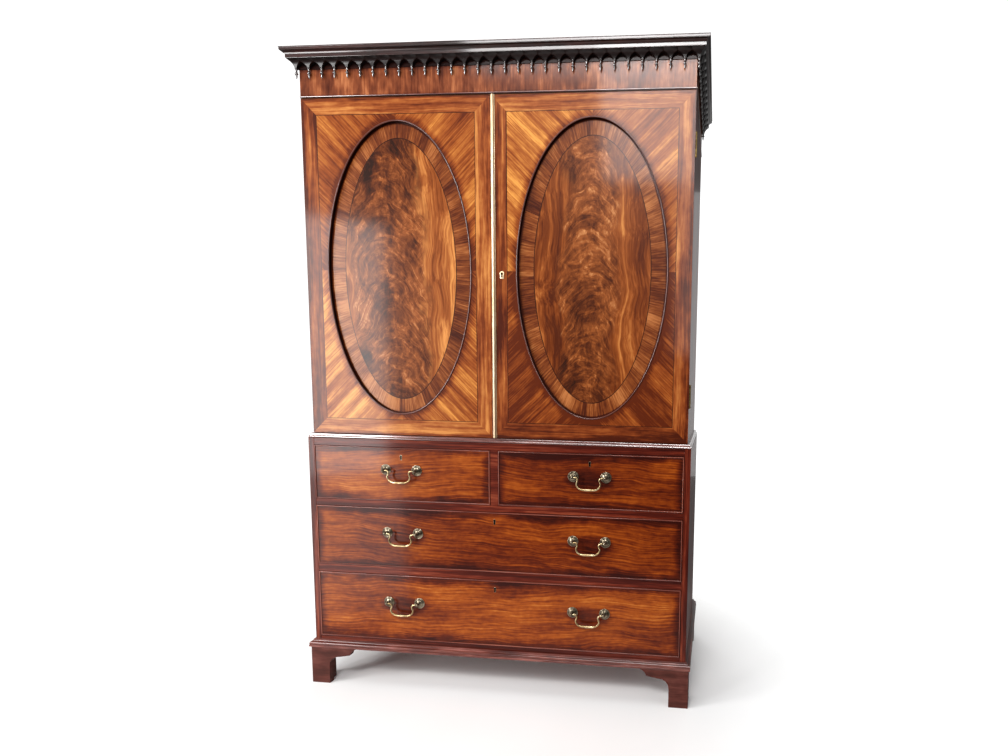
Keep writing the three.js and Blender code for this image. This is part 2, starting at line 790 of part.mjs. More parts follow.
// A linen tray: high back, sides that sweep down to a low front.
function linenTray(name, z) {
  const half = caseInnerHalf - drawerGap;
  const [front, back] = [caseFront + traySetBack, backFace - runnerSize / 2];
  const floor = z + seam;
  const shape = new THREE.Shape();
  shape.moveTo(front, floor);
  shape.lineTo(back, floor);
  shape.lineTo(back, floor + trayBackHeight);
  shape.lineTo(front + traySweep, floor + trayBackHeight);
  shape.bezierCurveTo(
    front + traySweep / 2, floor + trayBackHeight,
    front + traySweep / 2, floor + trayFrontHeight,
    front + trayWall, floor + trayFrontHeight,
  );
  shape.lineTo(front, floor + trayFrontHeight);
  const hollow = block(
    [trayWall - half, half - trayWall],
    [front + trayWall, back - trayWall],
    [floor + trayBottom, floor + trayBackHeight + overrun],
  );
  const solid = alongX(shape.extractPoints(6).shape, [-half, half]).subtract(hollow);
  return piece(name, solid, innerWood);
}

function cupboard() {
  const group = new THREE.Group();
  const between = [seam - caseInnerHalf, caseInnerHalf - seam];
  const deep = [caseFront, backFace - seam];
  group.add(
    cupboardSide("cupboard_left_side", -1),
    cupboardSide("cupboard_right_side", 1),
    piece("cupboard_bottom_board", block(between, deep, [caseFloor, shelfBottom]), innerWood),
    piece("cupboard_top_board", block(between, deep, [shelfTop, friezeLevel]), innerWood),
    piece("cupboard_back", block(between, [backFace, caseDepth], [caseFloor, friezeLevel]), innerWood),
  );
  trayLevels().forEach((z, i) => group.add(linenTray(`linen_tray_${i + 1}`, z)));
  for (const [side, sign] of [["left", -1], ["right", 1]]) {
    const [low, high] = hingeLevels();
    group.add(caseLeaf(`${side}_lower_hinge`, sign, low), caseLeaf(`${side}_upper_hinge`, sign, high));
  }
  return group;
}

// Cornice

const crownHeight = 28; // the plain moulding over the cove
const coveHeight = 24;
const corniceLip = 5; // the crown stands this much over the dust board
const dustThickness = 12;
const friezeBead = 6;
const friezeBeadProud = 2.5;
const frontBays = 30;
const ribWidth = 8.5;
const archBack = 2; // what is left of the cove behind an arch
const pendantOffset = 5.8; // from the frieze to a pendant's middle
const pendantRadius = 5.4;
const pendantLength = 31;
const pendantSides = 6;
const archSteps = 3;
const crownLevel = pressHeight - crownHeight;
const coveLevel = crownLevel - coveHeight;
const bayWidth = (caseWidth + 2 * pendantOffset) / frontBays;
const crownShares = [
  [0, 0], [0.68, 0], [0.68, 0.27], [0.73, 0.29], [0.75, 0.43], [0.82, 0.57], [0.9, 0.67],
  [0.94, 0.78], [0.975, 0.8], [0.975, 0.92], [1, 0.97], [1, 1], [0, 1],
];
const coveShares = [[0, 0], [0.23, 0], [0.26, 0.27], [0.37, 0.62], [0.56, 0.87], [0.63, 1], [0, 1]];
const pendantShares = [[0.64, 0], [0.5, 0.32], [1, 0.48], [0.55, 0.62]];

// The frieze, its returns and back rail, with a dust board over them.
function friezeFrame() {
  const [base, top] = [friezeLevel + seam, pressHeight - corniceLip];
  const hollow = block(
    [-caseInnerHalf, caseInnerHalf],
    [boardThickness, backFace],
    [base - overrun, top - dustThickness],
  );
  const frame = block([-caseHalf, caseHalf], [0, caseDepth], [base, top]).subtract(hollow);
  const inset = friezeBeadProud;
  const profile = [
    [-inset, base], [inset / 2, base], [inset, base + friezeBead / 3],
    [inset, base + (2 * friezeBead) / 3], [inset / 2, base + friezeBead], [-inset, base + friezeBead],
  ];
  return piece("cornice_frieze", frame.add(returned(profile, caseHalf, 0, caseDepth)), showWood);
}

function crownMoulding() {
  const profile = profileOf(crownShares, corniceReach, [crownLevel, pressHeight]);
  return piece("cornice_crown", returned(profile, caseHalf, 0, caseDepth), darkWood);
}

// A pointed arch in (u, z), open below, its middle at u.
function lancetOutline(u) {
  const half = (bayWidth - ribWidth) / 2;
  const rise = 0.74 * coveHeight;
  const side = Array.from({ length: archSteps }, (_, i) => {
    const angle = ((Math.PI / 3) * i) / archSteps;
    return [half * (2 * Math.cos(angle) - 1), (rise * Math.sin(angle)) / Math.sin(Math.PI / 3)];
  });
  const right = side.map(([across, up]) => [u + across, coveLevel + up]);
  const left = side.map(([across, up]) => [u - across, coveLevel + up]).reverse();
  return points([
    [u - half, coveLevel - overrun],
    [u + half, coveLevel - overrun],
    ...right,
    [u, coveLevel + rise],
    ...left,
  ]);
}

function pendantSolid(x, y) {
  const profile = [new THREE.Vector2(0, coveLevel + ribWidth / 2)];
  for (const [wide, down] of pendantShares) {
    const level = coveLevel - down * pendantLength;
    if (down === 0) profile.push(new THREE.Vector2(wide * pendantRadius, coveLevel + ribWidth / 2));
    profile.push(new THREE.Vector2(wide * pendantRadius, level));
  }
  profile.push(new THREE.Vector2(0, coveLevel - pendantLength));
  const turned = new THREE.LatheGeometry(profile, pendantSides);
  return solidFrom(turned.rotateX(Math.PI / 2).translate(x, y, 0));
}

// The cove: blind pointed arches cut into it, with a turned pendant under each rib.
function corniceArcade() {
  const profile = profileOf(coveShares, corniceReach, [coveLevel, crownLevel - seam]);
  let arcade = returned(profile, caseHalf, 0, caseDepth);
  const corner = caseHalf + pendantOffset;
  const cutDepth = [-corniceReach, -archBack];
  for (let i = 0; i < frontBays; i++) {
    arcade = arcade.subtract(alongY(lancetOutline(-corner + (i + 0.5) * bayWidth), cutDepth));
  }
  for (let i = 0; i <= frontBays; i++) {
    arcade = arcade.add(pendantSolid(-corner + i * bayWidth, -pendantOffset));
  }
  const sideBays = Math.ceil((caseDepth + pendantOffset) / bayWidth);
  for (const sign of [-1, 1]) {
    const cutWidth = sorted(sign * (caseHalf + archBack), sign * (caseHalf + corniceReach));
    for (let i = 0; i < sideBays; i++) {
      const middle = (i + 0.5) * bayWidth - pendantOffset;
      arcade = arcade.subtract(alongX(lancetOutline(middle), cutWidth));
    }
    for (let i = 1; i < sideBays; i++) {
      arcade = arcade.add(pendantSolid(sign * corner, i * bayWidth - pendantOffset));
    }
  }
  return piece("cornice_arcade", arcade, darkWood);
}

function cornice() {
  const group = new THREE.Group();
  group.add(friezeFrame(), crownMoulding(), corniceArcade());
  return group;
}

// The whole press stands with the middle of its outline over the origin.
const press = new THREE.Group();
press.add(chest(), drawers(), cupboard(), doors(), cornice());
press.position.y = (corniceReach - caseDepth) / 2;
const linenPress = new THREE.Group();
linenPress.add(press);

export default linenPress;
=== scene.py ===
import json
import math
import random
from functools import partial

import bmesh
import bpy
from mathutils import Matrix, Vector
from mathutils.geometry import tessellate_polygon


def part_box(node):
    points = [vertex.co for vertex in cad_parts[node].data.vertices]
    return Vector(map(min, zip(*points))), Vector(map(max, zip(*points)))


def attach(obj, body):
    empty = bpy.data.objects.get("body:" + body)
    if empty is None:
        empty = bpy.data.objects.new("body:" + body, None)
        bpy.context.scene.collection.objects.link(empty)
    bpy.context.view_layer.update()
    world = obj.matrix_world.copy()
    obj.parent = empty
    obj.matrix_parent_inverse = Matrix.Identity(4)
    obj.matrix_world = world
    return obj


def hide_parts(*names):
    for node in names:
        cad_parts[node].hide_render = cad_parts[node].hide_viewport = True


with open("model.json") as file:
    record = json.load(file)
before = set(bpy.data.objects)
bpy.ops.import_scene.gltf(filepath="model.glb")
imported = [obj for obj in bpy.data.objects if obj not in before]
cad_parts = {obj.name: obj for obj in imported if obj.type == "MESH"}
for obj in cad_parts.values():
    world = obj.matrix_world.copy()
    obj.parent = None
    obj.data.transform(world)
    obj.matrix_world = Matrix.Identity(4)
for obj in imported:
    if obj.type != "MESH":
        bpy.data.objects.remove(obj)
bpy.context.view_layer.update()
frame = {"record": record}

mm = 0.001

# Planes and sizes that the pieces share, in millimetres in the model's own frame
press = {
    "doorFace": -245.25,    # outer face of the doors and of the frieze
    "chestFace": -257.25,   # outer face of the chest's rails and drawer fronts
    "back": 284.75,
    "caseHalf": 636.0,      # half the width over the doors
    "chestHalf": 648.0,
    "ovalAcross": 318.0,    # from the middle to the centre of an oval
    "ovalLevel": 1417.75,
    "ovalSteps": 192,
}


# Camera: the photograph's own station, a little right of the middle and turned to the left

cameraAt = {
    "place": (0.7207, -2.0409, 1.0871), "yaw": 0.08795, "pitch": -0.09815, "roll": 0.02145,
    "lens": 20.16, "sensor": 36.0, "shift": (-0.1597, 0.0556),
}


def placeCamera():
    yaw, pitch, roll = cameraAt["yaw"], cameraAt["pitch"], cameraAt["roll"]
    ahead = Vector((-math.sin(yaw) * math.cos(pitch), math.cos(yaw) * math.cos(pitch), math.sin(pitch)))
    right = Vector((math.cos(yaw), math.sin(yaw), 0))
    up = right.cross(ahead)
    rolledRight = math.cos(roll) * right + math.sin(roll) * up
    rolledUp = math.cos(roll) * up - math.sin(roll) * right
    data = bpy.data.cameras.new("photoCamera")
    data.lens, data.sensor_width = cameraAt["lens"], cameraAt["sensor"]
    data.shift_x, data.shift_y = cameraAt["shift"]
    camera = bpy.data.objects.new("photoCamera", data)
    bpy.context.scene.collection.objects.link(camera)
    turn = Matrix((rolledRight, rolledUp, -ahead)).transposed()
    camera.matrix_world = Matrix.Translation(cameraAt["place"]) @ turn.to_4x4()
    bpy.context.scene.camera = camera


placeCamera()
print("camera placed")


# Shared helpers

def linearColour(hexCode):
    # sRGB hex to the linear values that the shaders take
    parts = [int(hexCode[i:i + 2], 16) / 255 for i in (0, 2, 4)]
    return tuple(c / 12.92 if c <= 0.04045 else ((c + 0.055) / 1.055) ** 2.4 for c in parts) + (1.0,)


def addNode(tree, kind, feeds=(), operation=None, out=0, stops=None, **settings):
    # one node with its settings, and its values and links by name or in order; gives back the chosen output
    node = tree.nodes.new(kind if "Node" in kind else "ShaderNode" + kind)
    if operation:
        node.operation = operation
    for key, value in settings.items():
        setattr(node, key, value)
    for key, value in feeds.items() if isinstance(feeds, dict) else enumerate(feeds):
        if isinstance(value, bpy.types.NodeSocket):
            tree.links.new(value, node.inputs[key])
        else:
            node.inputs[key].default_value = value
    if stops:
        elements = node.color_ramp.elements
        while len(elements) < len(stops):
            elements.new(0.5)
        for element, (place, hexCode) in zip(elements, stops):
            element.position, element.color = place, linearColour(hexCode)
    return node.outputs[out] if node.outputs else node


def newMaterial(name):
    # an empty material, and addNode bound to its tree
    material = bpy.data.materials.new(name)
    material.use_nodes = True
    material.node_tree.nodes.clear()
    return material, partial(addNode, material.node_tree)


def newObject(name, mesh):
    item = bpy.data.objects.new(name, mesh)
    bpy.context.scene.collection.objects.link(item)
    return item


def settle(piece, body, slot, *nodes):
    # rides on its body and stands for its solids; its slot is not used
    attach(piece, body)
    if nodes:
        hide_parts(*nodes)


def bodyOf(node):
    return next(body for body, members in frame["record"]["behaviour"]["bodies"].items() if node in members)


def newShell():
    return {"corners": [], "faces": [], "picks": [], "grain": [], "tones": []}


def addFace(shell, face, grain, pick, tone):
    for key, value in (("faces", face), ("grain", grain), ("picks", pick), ("tones", tone)):
        shell[key].append(value)


def layLeaf(shell, loops, place, angle=0.0, pick=0, tone=0.0, slip=(0.0, 0.0)):
    # a flat leaf in (u, v), holes after its outline, with its grain at an angle to u
    start = len(shell["corners"])
    flat = [point for loop in loops for point in loop]
    shell["corners"] += [place(u, v) for u, v in flat]
    c, s = math.cos(math.radians(angle)), math.sin(math.radians(angle))
    grain = [(u * c + v * s + slip[0], v * c - u * s + slip[1]) for u, v in flat]
    for tri in tessellate_polygon([[Vector((u, v, 0)) for u, v in loop] for loop in loops]):
        addFace(shell, [start + i for i in tri], [grain[i] for i in tri], pick, tone)


def layBand(shell, rings, pick=0, tone=0.0, across=False, closed=True, slip=0.0, girth=None):
    # quads between rings of 3-D points, with the grain along the rings, or across them; girth measures
    # the way round once for all rings
    count, start = len(rings[0]), len(shell["corners"])
    shell["corners"] += [corner for ring in rings for corner in ring]
    wide = 0.0
    for r in range(len(rings) - 1):
        step, run = math.dist(rings[r][0], rings[r + 1][0]), slip
        for i in range(count if closed else count - 1):
            j = (i + 1) % count
            length = girth[i + 1] - girth[i] if girth else math.dist(rings[r][i], rings[r][j])
            face = [start + r * count + i, start + r * count + j,
                    start + (r + 1) * count + j, start + (r + 1) * count + i]
            grain = [(run, wide), (run + length, wide), (run + length, wide + step), (run, wide + step)]
            addFace(shell, face, [(v, u) for u, v in grain] if across else grain, pick, tone)
            run += length
        wide += step


def layWall(shell, loop, near, far, pick=0):
    # the edge of a board, from its outline at one depth to the same at another
    layBand(shell, [lifted(loop, near), lifted(loop, far)], pick)


def weld(mesh, flatten=False):
    # merges what meets, then joins triangles to flat faces or turns every face outwards
    kit = bmesh.new()
    kit.from_mesh(mesh)
    bmesh.ops.remove_doubles(kit, verts=kit.verts, dist=0.005 * mm)
    if flatten:
        bmesh.ops.dissolve_limit(kit, angle_limit=math.radians(0.5), verts=kit.verts, edges=kit.edges)
    else:
        bmesh.ops.recalc_face_normals(kit, faces=kit.faces)
    kit.to_mesh(mesh)
    kit.free()


def closeShell(shell, name, materials, smoothAngle=30):
    # a mesh of the shell that keeps its grain map and its leaves' tones
    mesh = bpy.data.meshes.new(name)
    mesh.from_pydata([[c * mm for c in corner] for corner in shell["corners"]], [], shell["faces"])
    for material in materials:
        mesh.materials.append(material)
    mesh.polygons.foreach_set("material_index", shell["picks"])
    layer = mesh.uv_layers.new(name="grain")
    layer.data.foreach_set("uv", [c * mm for face in shell["grain"] for corner in face for c in corner])
    mesh.attributes.new("leafTone", "FLOAT", "FACE").data.foreach_set("value", shell["tones"])
    weld(mesh)
    if smoothAngle:
        mesh.shade_smooth()
        mesh.set_sharp_from_angle(angle=math.radians(smoothAngle))
    return newObject(name, mesh)


def skinned(name, rings, materials, smoothAngle=30, capped=False):
    # a skin over closed rings, with a flat end on the first and the last if it is capped
    shell, count = newShell(), len(rings[0])
    layBand(shell, rings)
    for ring in (rings[0], rings[-1]) if capped else ():
        start = len(shell["corners"])
        shell["corners"] += ring
        addFace(shell, list(range(start, start + count)), [(0.0, 0.0)] * count, 0, 0.0)
    return closeShell(shell, name, materials, smoothAngle)


def rectangle(x0, x1, z0, z1, inset=0.0):
    x0, x1, z0, z1 = x0 + inset, x1 - inset, z0 + inset, z1 - inset
    return [(x0, z0), (x1, z0), (x1, z1), (x0, z1)]


def middleAndHalves(x0, x1, z0, z1):
    return ((x0 + x1) / 2, (z0 + z1) / 2), ((x1 - x0) / 2, (z1 - z0) / 2)


def curvePoints(centre, radii, start, end, steps=6):
    # points on an ellipse from one angle to another, in degrees, both ends included
    turns = [math.radians(start + (end - start) * i / steps) for i in range(steps + 1)]
    return [(centre[0] + radii[0] * math.cos(t), centre[1] + radii[1] * math.sin(t)) for t in turns]


def ovalArc(centre, radii, start=0.0, end=360.0):
    # the same for a door's oval; the whole of it doesn't repeat its first point
    steps = max(1, round(press["ovalSteps"] * (end - start) / 360))
    points = curvePoints(centre, radii, start, end, steps)
    return points[:-1] if end - start >= 360 else points


def keyholeLoop(x, z, grow=0.0, radius=3.2, slot=4.0, height=15.0, steps=20):
    # a round eye over a straight slot
    r, half = radius + grow, slot / 2 + grow
    eye, foot, turn = z + height / 2 - radius, z - height / 2 - grow, math.asin(half / r)
    arc = [turn - math.pi / 2 + (2 * math.pi - 2 * turn) * i / steps for i in range(steps + 1)]
    return [(x - half, foot), (x + half, foot)] + [(x + r * math.cos(t), eye + r * math.sin(t)) for t in arc]


def keyholeRings(at, steps):
    # the keyhole's outline, grown by so much at each depth
    return [lifted(keyholeLoop(*at, grow), y) for grow, y in steps]


def onSide(x):
    return lambda u, v: (x, u, v)


def onFront(y):
    return lambda u, v: (u, y, v)


def onLevel(z):
    return lambda u, v: (u, v, z)


def lifted(loop, y):
    return [(u, y, v) for u, v in loop]


def returnedMoulding(shell, section, half, front, pick=0):
    # a section of (reach, level) run along the left side, the front and the right side, mitred at the corners
    back = press["back"]
    stations = [(-1, back, 1), (-1, front, 0), (1, front, 0), (1, back, 1)]
    rings = [[(side * (half + reach), y if flat else y - reach, level) for reach, level in section]
             for side, y, flat in stations]
    girth = [0.0]
    for a, b in zip(section, section[1:] + section[:1]):
        girth.append(girth[-1] + math.dist(a, b))
    layBand(shell, rings, pick, across=True, girth=girth)
    for side in (-1, 1):
        layLeaf(shell, [section], lambda u, v: (side * (half + u), back, v), 90.0, pick)


def moulded(name, section, half, front, materials, smoothAngle=30):
    shell = newShell()
    returnedMoulding(shell, section, half, front)
    return closeShell(shell, name, materials, smoothAngle)


def latheRings(profile, sides):
    # rings of points round z from (radius, height) pairs
    turns = [2 * math.pi * i / sides for i in range(sides)]
    return [[(r * math.cos(t), r * math.sin(t), h) for t in turns] for r, h in profile]


def joinAs(name, items):
    bpy.ops.object.select_all(action="DESELECT")
    for item in items:
        item.select_set(True)
    bpy.context.view_layer.objects.active = items[0]
    if len(items) > 1:
        bpy.ops.object.join()
    items[0].name = items[0].data.name = name
    return items[0]


def easedCopy(node, name, material, slot, ease, crossing=None):
    # a copy of a solid with its edges eased as with a sanding block; crossing is an axis and the wood
    # of the boards that face along it, whose fibres run another way
    mesh = bpy.data.objects[node].data.copy()
    weld(mesh, flatten=True)
    mesh.materials.clear()
    mesh.materials.append(material)
    if crossing:
        axis, crossWood = crossing
        mesh.materials.append(crossWood)
        for face in mesh.polygons:
            face.material_index = int(abs(face.normal[axis]) > 0.9)
    piece = newObject(name, mesh)
    bevel = piece.modifiers.new("easedEdges", "BEVEL")
    bevel.width, bevel.segments = ease * mm, 2
    bevel.limit_method, bevel.angle_limit = "ANGLE", math.radians(40)
    bevel.harden_normals = True
    settle(piece, bodyOf(node), slot, node)


# Finishes. A MapRange node takes its value, from low and high, then to low and high

# how shellac lies unless a look says otherwise: its gloss, the coat over it, the open grain and the slow
# ripple of old veneer
polish = {
    "shine": 0.15, "rough": 0.28, "roughSpread": 0.2, "coat": 0.28, "coatRough": 0.1, "coatIor": 1.5,
    "grainDepth": 0.05, "ripple": 0.5, "rippleLength": 80, "relief": 0.2,
}
# darkening beside a bead or an edge, wax and smoke with painted shade: how unevenly it lies, and where it
# fades, as shares of its reach
grime = {"waveLength": 55, "wave": 1.1, "fade": (0.45, 1.55), "cornerRound": 15}


def shades(hexCodes, places=(0.28, 0.44, 0.54, 0.72)):
    # colours from the darkest to the palest, each with its place on the scale of tones
    return list(zip(places, hexCodes.split()))


def sizedNoise(add, vector, sizes, values):
    # noise whose marks have their length, width and depth in mm
    spaced = add("Mapping", {"Vector": vector, "Scale": [1 / (s * mm) for s in sizes]})
    return add("TexNoise", {"Vector": spaced, "Scale": 1.0, **values})


def centredNoise(add, vector, sizes, detail, weight, before=None, swirl=0.0):
    # one layer of marks, centred on nothing and added to what came before
    marks = sizedNoise(add, vector, sizes, {"Detail": detail, "Roughness": 0.55, "Distortion": swirl})
    centred = add("Math", [marks, 0.5], "SUBTRACT")
    feeds = [centred, weight, 0.5 if before is None else before]
    return add("Math", feeds, "MULTIPLY_ADD"), marks


def grainFigure(add, grain, look, tone=None):
    # figured wood on a grain vector whose x runs with the fibres, layer upon layer
    wander = add("TexNoise", {"Vector": grain, "Scale": 1 / (look["bendLength"] * mm), "Detail": 2.0})
    sway = look["sway"] * mm
    swayed = add("Math", [wander, sway, -sway / 2], "MULTIPLY_ADD")
    bent = add("VectorMath", [grain, add("CombineXYZ", {"Y": swayed})], "ADD")
    value = add("Math", [tone, 0.5], "ADD") if tone is not None else None
    for length, width, detail, weight in look["layers"]:
        value, fibres = centredNoise(add, bent, (length, width, width), detail, weight, value)
    return value, fibres


def frenchPolish(add, colour, fibres, look):
    look = {**polish, **look}
    point = add("TexCoord", out="Object")
    ripple = add("TexNoise", {"Vector": point, "Scale": 1 / (look["rippleLength"] * mm), "Detail": 1.0})
    height = add("Math", [fibres, look["grainDepth"], ripple], "MULTIPLY_ADD")
    bump = add("Bump", {"Strength": look["relief"], "Distance": look["ripple"] * mm, "Height": height})
    rough = add("Math", [fibres, look["roughSpread"], look["rough"]], "MULTIPLY_ADD")
    shader = add("BsdfPrincipled", {
        "Base Color": colour, "Roughness": rough, "Normal": bump, "IOR": 1.5,
        "Specular IOR Level": look["shine"], "Coat Weight": look["coat"],
        "Coat Roughness": look["coatRough"], "Coat IOR": look["coatIor"]})
    add("OutputMaterial", {"Surface": shader})


def edgeGap(add, point, field):
    # how far a point lies inside the edges of a rectangle, the nearer pair counting
    (x, z), halves = field
    moved = add("Mapping", {"Vector": point, "Location": (-x * mm, 0, -z * mm)})
    split = add("SeparateXYZ", {"Vector": moved}).node
    gaps = []
    for axis, half in zip("XZ", halves):
        size = add("Math", [split.outputs[axis]], "ABSOLUTE")
        gaps.append(add("Math", [half * mm, size], "SUBTRACT"))
    return add("Math", [*gaps, grime["cornerRound"] * mm], "SMOOTH_MIN")


def ovalGap(add, point, oval):
    # how far a point lies outside an oval, along the line from its centre
    (x, z), halves = oval
    moved = add("Mapping", {"Vector": point, "Location": (-x * mm, 0, -z * mm), "Scale": (1, 0, 1)})
    far = add("VectorMath", [moved], "LENGTH", out="Value")
    shares = (1 / (halves[0] * mm), 0, 1 / (halves[1] * mm))
    squeezed = add("VectorMath", [moved, shares], "MULTIPLY")
    ratio = add("VectorMath", [squeezed], "LENGTH", out="Value")
    edge = add("Math", [far, ratio], "DIVIDE")
    return add("Math", [far, edge], "SUBTRACT")


def gathered(add, point, value, gap, reach, depth):
    # darkens the veneer unevenly towards a bead or an edge: wax and smoke that gather there, with painted
    # shade
    cloud = add("TexNoise", {"Vector": point, "Scale": 1 / (grime["waveLength"] * mm), "Detail": 3.0})
    wavy = add("Math", [cloud, grime["wave"] * reach * mm, gap], "MULTIPLY_ADD")
    near, far = [share * reach * mm for share in grime["fade"]]
    dark = add("MapRange", [wavy, near, far, depth, 0.0], interpolation_type="SMOOTHSTEP")
    return add("Math", [value, dark], "SUBTRACT")


def woodMaterial(name, look, direction=None, edges=None, ovals=(), rim=None):
    # direction None reads the piece's own grain map; "x", "y" or "z" runs the fibres along that axis
    material, add = newMaterial(name)
    tone = None
    point = add("TexCoord", out="Object")
    if direction is None:
        grain = add("UVMap", uv_map="grain")
        tone = add("Attribute", out="Fac", attribute_name="leafTone")
    else:
        turn = {"x": (0, 0, 0), "y": (0, 0, -math.pi / 2), "z": (0, math.pi / 2, 0)}[direction]
        grain = add("Mapping", {"Vector": point, "Rotation": turn})
    value, fibres = grainFigure(add, grain, look, tone)
    # darkening towards edges, ovals and a rim: dirt with painted shade
    if edges:
        value = gathered(add, point, value, edgeGap(add, point, edges), *look["edgeGrime"])
    for oval in ovals:
        value = gathered(add, point, value, ovalGap(add, point, oval), *look["ovalGrime"])
    if rim:
        inward = add("Math", [ovalGap(add, point, rim), -1.0], "MULTIPLY")
        value = gathered(add, point, value, inward, *look["rimGrime"])
    colour = add("ValToRGB", {"Fac": value}, stops=look["colours"])
    frenchPolish(add, colour, fibres, look)
    return material


# Each look is a wood as the cabinet maker laid it: layers are the length and the width of the marks in mm,
# their detail and their weight; the last layer is the fibres, drawn 3 mm wide so that they show
lookOf = {
    # sawn Honduras mahogany, straight and quiet, red-brown under old shellac
    "solid": {
        "bendLength": 600, "sway": 20,
        "layers": [(560, 9, 3.0, 0.6), (480, 60, 2.0, 0.55), (60, 3, 2.0, 0.35)],
        "colours": shades("320a05 4e180b 682817 965036"),
    },
    # the same wood in the mouldings, which dust and wax have turned a little paler
    "moulding": {
        "bendLength": 400, "sway": 14, "coat": 0.7, "shine": 0.4,
        "layers": [(300, 12, 2.0, 0.6), (160, 50, 2.0, 0.7), (45, 3, 2.0, 0.35)],
        "colours": shades("3c140e 56241b 6c352a 945c52"),
    },
    # the same wood where polish and smoke have gathered for longest
    "smoked": {
        "bendLength": 400, "sway": 14, "shine": 0.5, "coat": 1.0, "coatRough": 0.09,
        "layers": [(420, 14, 3.0, 0.8), (70, 36, 2.0, 0.4), (45, 3, 2.0, 0.4)],
        "colours": shades("170603 250c08 32120e 48211b"),
    },
    # the feet, stained to match and dulled by the mop
    "feet": {
        "bendLength": 300, "sway": 10, "rough": 0.38, "coat": 0.3, "coatRough": 0.2,
        "layers": [(200, 30, 2.0, 0.7), (60, 40, 2.0, 0.4), (45, 3, 2.0, 0.25)],
        "colours": shades("38160f 4c241c 5a2e26 71443b"),
    },
    # straight-grained veneer on the doors' borders, ribbon stripes of red and gold, darkened towards the
    # door's edges: dirt with painted shade
    "banding": {
        "bendLength": 260, "sway": 16, "edgeGrime": (14, 0.2),
        "layers": [(260, 8, 2.0, 0.6), (340, 40, 1.0, 0.8), (40, 22, 3.0, 0.3), (45, 3, 2.0, 0.3)],
        "colours": shades("4c1c08 783916 995628 c58549", (0.24, 0.4, 0.54, 0.74)),
    },
    # quartered leaves round the ovals: narrow ribbons of gold that run out into the corners, darkened outside
    # the bead: dirt with painted shade
    "quartered": {
        "bendLength": 300, "sway": 12, "ovalGrime": (26, 0.22),
        "layers": [(260, 6, 2.0, 0.6), (300, 24, 1.0, 0.5), (300, 90, 1.0, 0.5),
                   (34, 14, 3.0, 0.3), (45, 3, 2.0, 0.25)],
        "colours": shades("5c2509 884519 a4612a d9974c", (0.22, 0.4, 0.54, 0.76)),
    },
    # crossbanding: short leaves laid with their fibres square to the line they follow, darkened inside the
    # rim: dirt with the painted shadow of the reveal
    "crossband": {
        "bendLength": 120, "sway": 5, "rimGrime": (7, 0.5),
        "layers": [(130, 5, 2.0, 0.6), (200, 60, 1.0, 0.7), (30, 10, 3.0, 0.35), (30, 3, 2.0, 0.25)],
        "colours": shades("43190a 663115 824720 ae7041", (0.24, 0.42, 0.55, 0.76)),
    },
    # frieze veneer: leaves with their fibres upright, pinker than the doors, darkened by painted shade
    # towards the bead below and the arches above
    "frieze": {
        "bendLength": 150, "sway": 8, "edgeGrime": (13, 0.16),
        "layers": [(140, 9, 2.0, 0.4), (110, 50, 2.0, 0.8), (30, 14, 3.0, 0.3), (40, 3, 2.0, 0.25)],
        "colours": shades("481d0e 6a361f 84492b b4744c", (0.26, 0.43, 0.55, 0.76)),
    },
    # plain-cut drawer veneer: fine soft streaks, a slow change of tone and a little mottle across them;
    # darker towards the cockbead, wax with painted shade, and round the handles, hands' smears with their
    # painted shadow
    "drawer": {
        "bendLength": 260, "sway": 60, "edgeGrime": (32, 0.28), "ovalGrime": (34, 0.16),
        "layers": [(240, 6, 3.0, 0.5), (260, 34, 1.0, 0.25), (300, 130, 2.0, 0.5),
                   (22, 14, 3.0, 0.22), (60, 3, 2.0, 0.35)],
        "colours": shades("340a02 5c2005 7e3809 9c5014 c8803a", (0.2, 0.38, 0.5, 0.62, 0.82)),
    },
    # oak and pine inside, planed and left without polish
    "inside": {
        "bendLength": 350, "sway": 12, "coat": 0.0, "rough": 0.5, "grainDepth": 0.3,
        "layers": [(400, 16, 3.0, 0.9), (45, 3, 2.0, 0.5)],
        "colours": shades("7a5035 986e48 ae865c c49e74", (0.15, 0.42, 0.62, 0.88)),
    },
}


def variantOf(base, name, hexCodes=None, **changes):
    # the same wood under another polish
    colours = {"colours": shades(hexCodes)} if hexCodes else {}
    return woodMaterial(name, {**lookOf[base], **changes, **colours})


solidX, solidZ = [woodMaterial("sawnMahogany_" + axis, lookOf["solid"], axis) for axis in "xz"]
feetWood, feetSideWood = [woodMaterial("stainedMahogany_" + axis, lookOf["feet"], axis) for axis in "xy"]
insideX, insideY = [woodMaterial("planedOak_" + axis, lookOf["inside"], axis) for axis in "xy"]
insideRun = woodMaterial("planedOakBoards", lookOf["inside"])
solidRun = woodMaterial("mahoganyMoulding", lookOf["moulding"])
smokedRun = woodMaterial("smokedMoulding", lookOf["smoked"])
friezeVeneer = woodMaterial("friezeVeneer", lookOf["frieze"], None, ((0, 2000.15), (3000, 42.85)))
# the noses that hands and dusters pass along all day carry a hard shine, which draws a light line along them
handledRun = variantOf("moulding", "handledMoulding",
                       shine=0.8, coat=1.0, coatIor=2.4, rough=0.2, coatRough=0.09)
# the cove and its arches: the smoked wood painted darker still, as the shade under the crown
arcadeWood = variantOf("smoked", "smokedArcade", "0e0706 170d0c 201312 30201d", shine=0.3, coat=0.35)
# the pendants are polished all round by hand; a denser coat gives them their row of glints
pendantWood = variantOf("smoked", "polishedPendant", "180a08 241210 301b18 4a2f2a",
                        shine=1.0, coat=1.0, coatIor=2.4, rough=0.12, coatRough=0.05, ripple=0.0)
